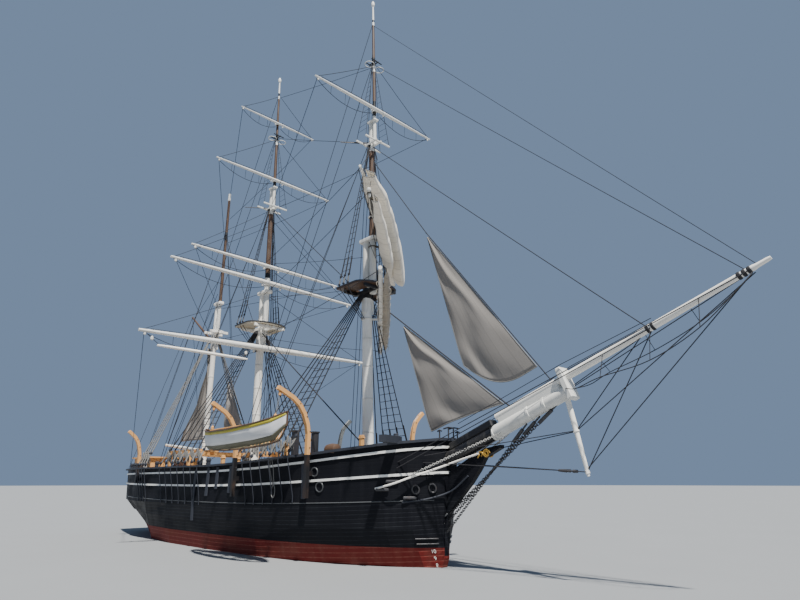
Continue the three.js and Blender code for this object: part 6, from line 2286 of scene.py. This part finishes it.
@dataclass(frozen=True)
class DeckGear:
    """What stands on deck, over the solids."""

    hull: HullSide

    WINDOWS_X, WINDOW_Z, HOUSE_SIDE = (-14.45, -13.05), 4.75, 2.2
    DOOR_X, DOOR_Y, KNOB_Z = -13.45, 1.04, 4.4
    PIN_RAILS = ((5.3, 9.3), (-5.2, 0.4), (-9.5, -7.7))
    BARREL = (13.1, 0, 4.72)
    POTS_X, POTS_Y = 5.65, (-0.62, 0.62)
    HATCH_X = 2.2

    def build(self) -> None:
        """Builds the deck's fittings."""
        self.house_trim()
        self.pin_rails()
        self.davit_irons()
        self.windlass_whelps()
        self.tryworks_iron()
        self.hatch_battens()

    def house_trim(self) -> None:
        """Window frames and panes, and the doors' knobs and hinges."""
        frames, panes = [], []
        for side in Side:
            for x in self.WINDOWS_X:
                y, z = side.value * self.HOUSE_SIDE, self.WINDOW_Z
                panes.append(Bench.block((x, y - side.value * 0.02, z), (0.4, 0.06, 0.4), bevel=0.0))
                frames += [Bench.block((x + dx, y, z + dz), size, bevel=0.01) for dx, dz, size in
                           ((0, 0.23, (0.56, 0.08, 0.07)), (0, -0.23, (0.6, 0.12, 0.07)), (0.23, 0, (0.07, 0.08, 0.4)),
                            (-0.23, 0, (0.07, 0.08, 0.4)), (0, 0, (0.03, 0.05, 0.4)), (0, 0, (0.4, 0.05, 0.03)))]
        fitted(Bench.joined(frames), "house_window_frames", WHITE_PAINT)
        fitted(Bench.joined(panes), "house_panes", GLASS)
        for side in Side:
            y = side.value * self.DOOR_Y
            rings = [(0, 0.02), (0.05, 0.02), (0.06, 0.045), (0.1, 0.03)]
            knob = Bench.turned((self.DOOR_X, y, self.KNOB_Z), (self.DOOR_X, 0, self.KNOB_Z), rings, 12)
            hinges = [Bench.block((self.DOOR_X + 0.35, y, z), (0.22, 0.02, 0.04), bevel=0.004) for z in (4.0, 4.95)]
            fitted(Bench.soften(Bench.joined([knob, *hinges])), f"door_fittings_{side.word}", BLACK_IRON,
                   f"house_door_{side.word}")

    def pin_rails(self) -> None:
        """Pin rails inside the bulwarks, with belaying pins and coils."""
        rng = random.Random(7)
        for side in Side:
            rails, pins, coils = [], [], []
            for low, high in self.PIN_RAILS:
                steps = 6
                for i in range(steps):
                    a, b = [low + (high - low) * (i + k) / steps for k in (0, 1)]
                    points = [self.hull.at(x, rail_z(x) - 0.1, side, -0.36) for x in (a, b)]
                    middle = (points[0] + points[1]) / 2
                    run = points[1] - points[0]
                    rails.append(Bench.block(middle - Vector((0, 0, 0.14)), (run.length + 0.02, 0.16, 0.07),
                                             (0, 0, math.atan2(run.y, run.x)), 0.012))
                    for k in (0.3, 0.8):
                        spot = points[0].lerp(points[1], k) - Vector((0, 0, 0.14))
                        pins.append(Matrix.Translation(spot))
                        coils.append(Matrix.Translation(spot + Vector((0, -side.value * 0.02, 0.06)))
                                     @ Matrix.Rotation(-side.value * math.pi / 2 + rng.uniform(-0.2, 0.2), 4, "Z"))
            fitted(Bench.joined(rails), f"pin_rails_{side.word}", WHITE_PAINT)
            fitted(Bench.soften(Bench.copies(Tackle.pin(), pins)), f"belaying_pins_{side.word}", BROWN_SPAR)
            fitted(Bench.soften(Bench.copies(Tackle.coil(), coils)), f"rope_coils_{side.word}", MANILA)

    def davit_irons(self) -> None:
        """Bolts and the dark rubbing strip of each davit."""
        for row in DAVITS:
            side, curve, name = row.side, row.curve(), row.name
            strip = [p - Vector((0, side * 0.09, -0.02)) for p in curve]
            bolts = []
            for i in (3, 6, 9, 12, 15):
                for sign in (-1, 1):
                    a = curve[i] + Vector((sign * 0.095, 0, 0))
                    bolts.append(Bench.turned(a, a + Vector((sign, 0, 0)), [(0, 0.03), (0.02, 0.03), (0.03, 0.015)], 8))
            irons = Bench.joined([Bench.lines([strip], 0.05, 0), *bolts])
            fitted(Bench.soften(irons), f"davit_irons_{name}", BLACK_IRON)

    def windlass_whelps(self) -> None:
        """Staves round the windlass barrel."""
        middle = Vector(self.BARREL)
        staves = []
        for end in (-0.85, 0.85):
            for a in round_angles(8):
                spot = middle + Vector((0.27 * math.cos(a), end, 0.27 * math.sin(a)))
                staves.append(Bench.block(spot, (0.06, 0.7, 0.1), (0, -a, 0), 0.01))
        fitted(Bench.joined(staves), "windlass_whelps", BROWN_SPAR, "windlass_barrel")

    def tryworks_iron(self) -> None:
        """Pot lids, furnace doors, straps and flues of the tryworks."""
        rings = [(0, 0.5), (0.05, 0.5), (0.1, 0.46), (0.18, 0.12), (0.19, 0.05), (0.26, 0.05)]
        lids = [Bench.turned((self.POTS_X, y, 4.98), (self.POTS_X, y, 6), rings, 24) for y in self.POTS_Y]
        doors = [Bench.block((6.97, y, 4.1), (0.05, 0.55, 0.5), bevel=0.015) for y in self.POTS_Y]
        straps = [Bench.block((5.8, 0, z), (2.36, 2.76, 0.06), bevel=0.01) for z in (3.75, 4.85)]
        flues = [Bench.block((4.62, y, high), size, bevel=0.02) for y in (-0.72, 0.72) for high, size in
                 ((5.84, (0.32, 0.36, 1.62)), (6.6, (0.4, 0.44, 0.1)))]
        fitted(Bench.soften(Bench.joined([*lids, *doors, *straps, *flues])), "tryworks_iron", BLACK_IRON)

    def hatch_battens(self) -> None:
        """Battens and wedges on the main hatch."""
        battens = [Bench.block((self.HATCH_X, y, 4.1), (2.3, 0.08, 0.05), bevel=0.01) for y in (-0.7, 0, 0.7)]
        battens += [Bench.block((self.HATCH_X + dx, 0, 3.9), (0.06, 2.4, 0.12), bevel=0.01) for dx in (-1.1, 1.1)]
        fitted(Bench.joined(battens), "hatch_battens", BROWN_SPAR)


# The studio


@dataclass(frozen=True)
class Studio:
    """The camera, the lights and the floor."""

    place: tuple[float, float, float] = (35.15, -22.06, 3.72)
    yaw: float = 135.41
    pitch: float = 16.78
    lens: float = 27.05
    sun_azimuth: float = -24.0
    sun_height: float = 64.0
    sun_strength: float = 9.5
    sun_width: float = 1.6
    sun_color: Row = (1.0, 0.965, 0.9)
    sky_color: Row = (0.42, 0.60, 0.92, 1)
    sky_strength: float = 0.42
    floor_radius: float = 300.0

    def build(self) -> None:
        """Places them all."""
        turn = (math.pi / 2 + math.radians(self.pitch), 0, math.radians(self.yaw) - math.pi / 2)
        bpy.ops.object.camera_add(location=Vector(self.place) * MODEL_SCALE, rotation=turn)
        camera = bpy.context.object
        camera.data.lens = self.lens
        camera.data.sensor_width = 36
        camera.data.clip_end = 1000
        bpy.context.scene.camera = camera
        world = bpy.context.scene.world or bpy.data.worlds.new("studio")
        bpy.context.scene.world = world
        world.use_nodes = True
        sky = world.node_tree.nodes["Background"]
        sky.inputs["Color"].default_value = self.sky_color
        sky.inputs["Strength"].default_value = self.sky_strength
        lean, around = math.radians(90 - self.sun_height), math.radians(self.sun_azimuth)
        bpy.ops.object.light_add(type="SUN", rotation=(0, lean, around))
        sun = bpy.context.object
        sun.data.energy = self.sun_strength
        sun.data.angle = math.radians(self.sun_width)
        sun.data.color = self.sun_color
        bpy.ops.mesh.primitive_circle_add(vertices=64, radius=self.floor_radius, fill_type="NGON")
        floor = bpy.context.object
        floor.name = "studio_floor"
        floor.data.materials.append(STUDIO_FLOOR.material())


def main() -> None:
    """Builds the scene in order."""
    logging.basicConfig(level=logging.INFO, format="%(name)s %(message)s")
    Studio().build()
    hull = HullSide()
    HullDress(hull).build()
    Spars().build()
    StandingRigging(hull).build()
    HeadGear(hull).build()
    for yard in YARDS:
        yard.build()
    SpankerGear().build()
    SlungSpar().build()
    Sails().build()
    Whaleboat().build()
    DeckGear(hull).build()


if __name__ == "__main__":
    main()
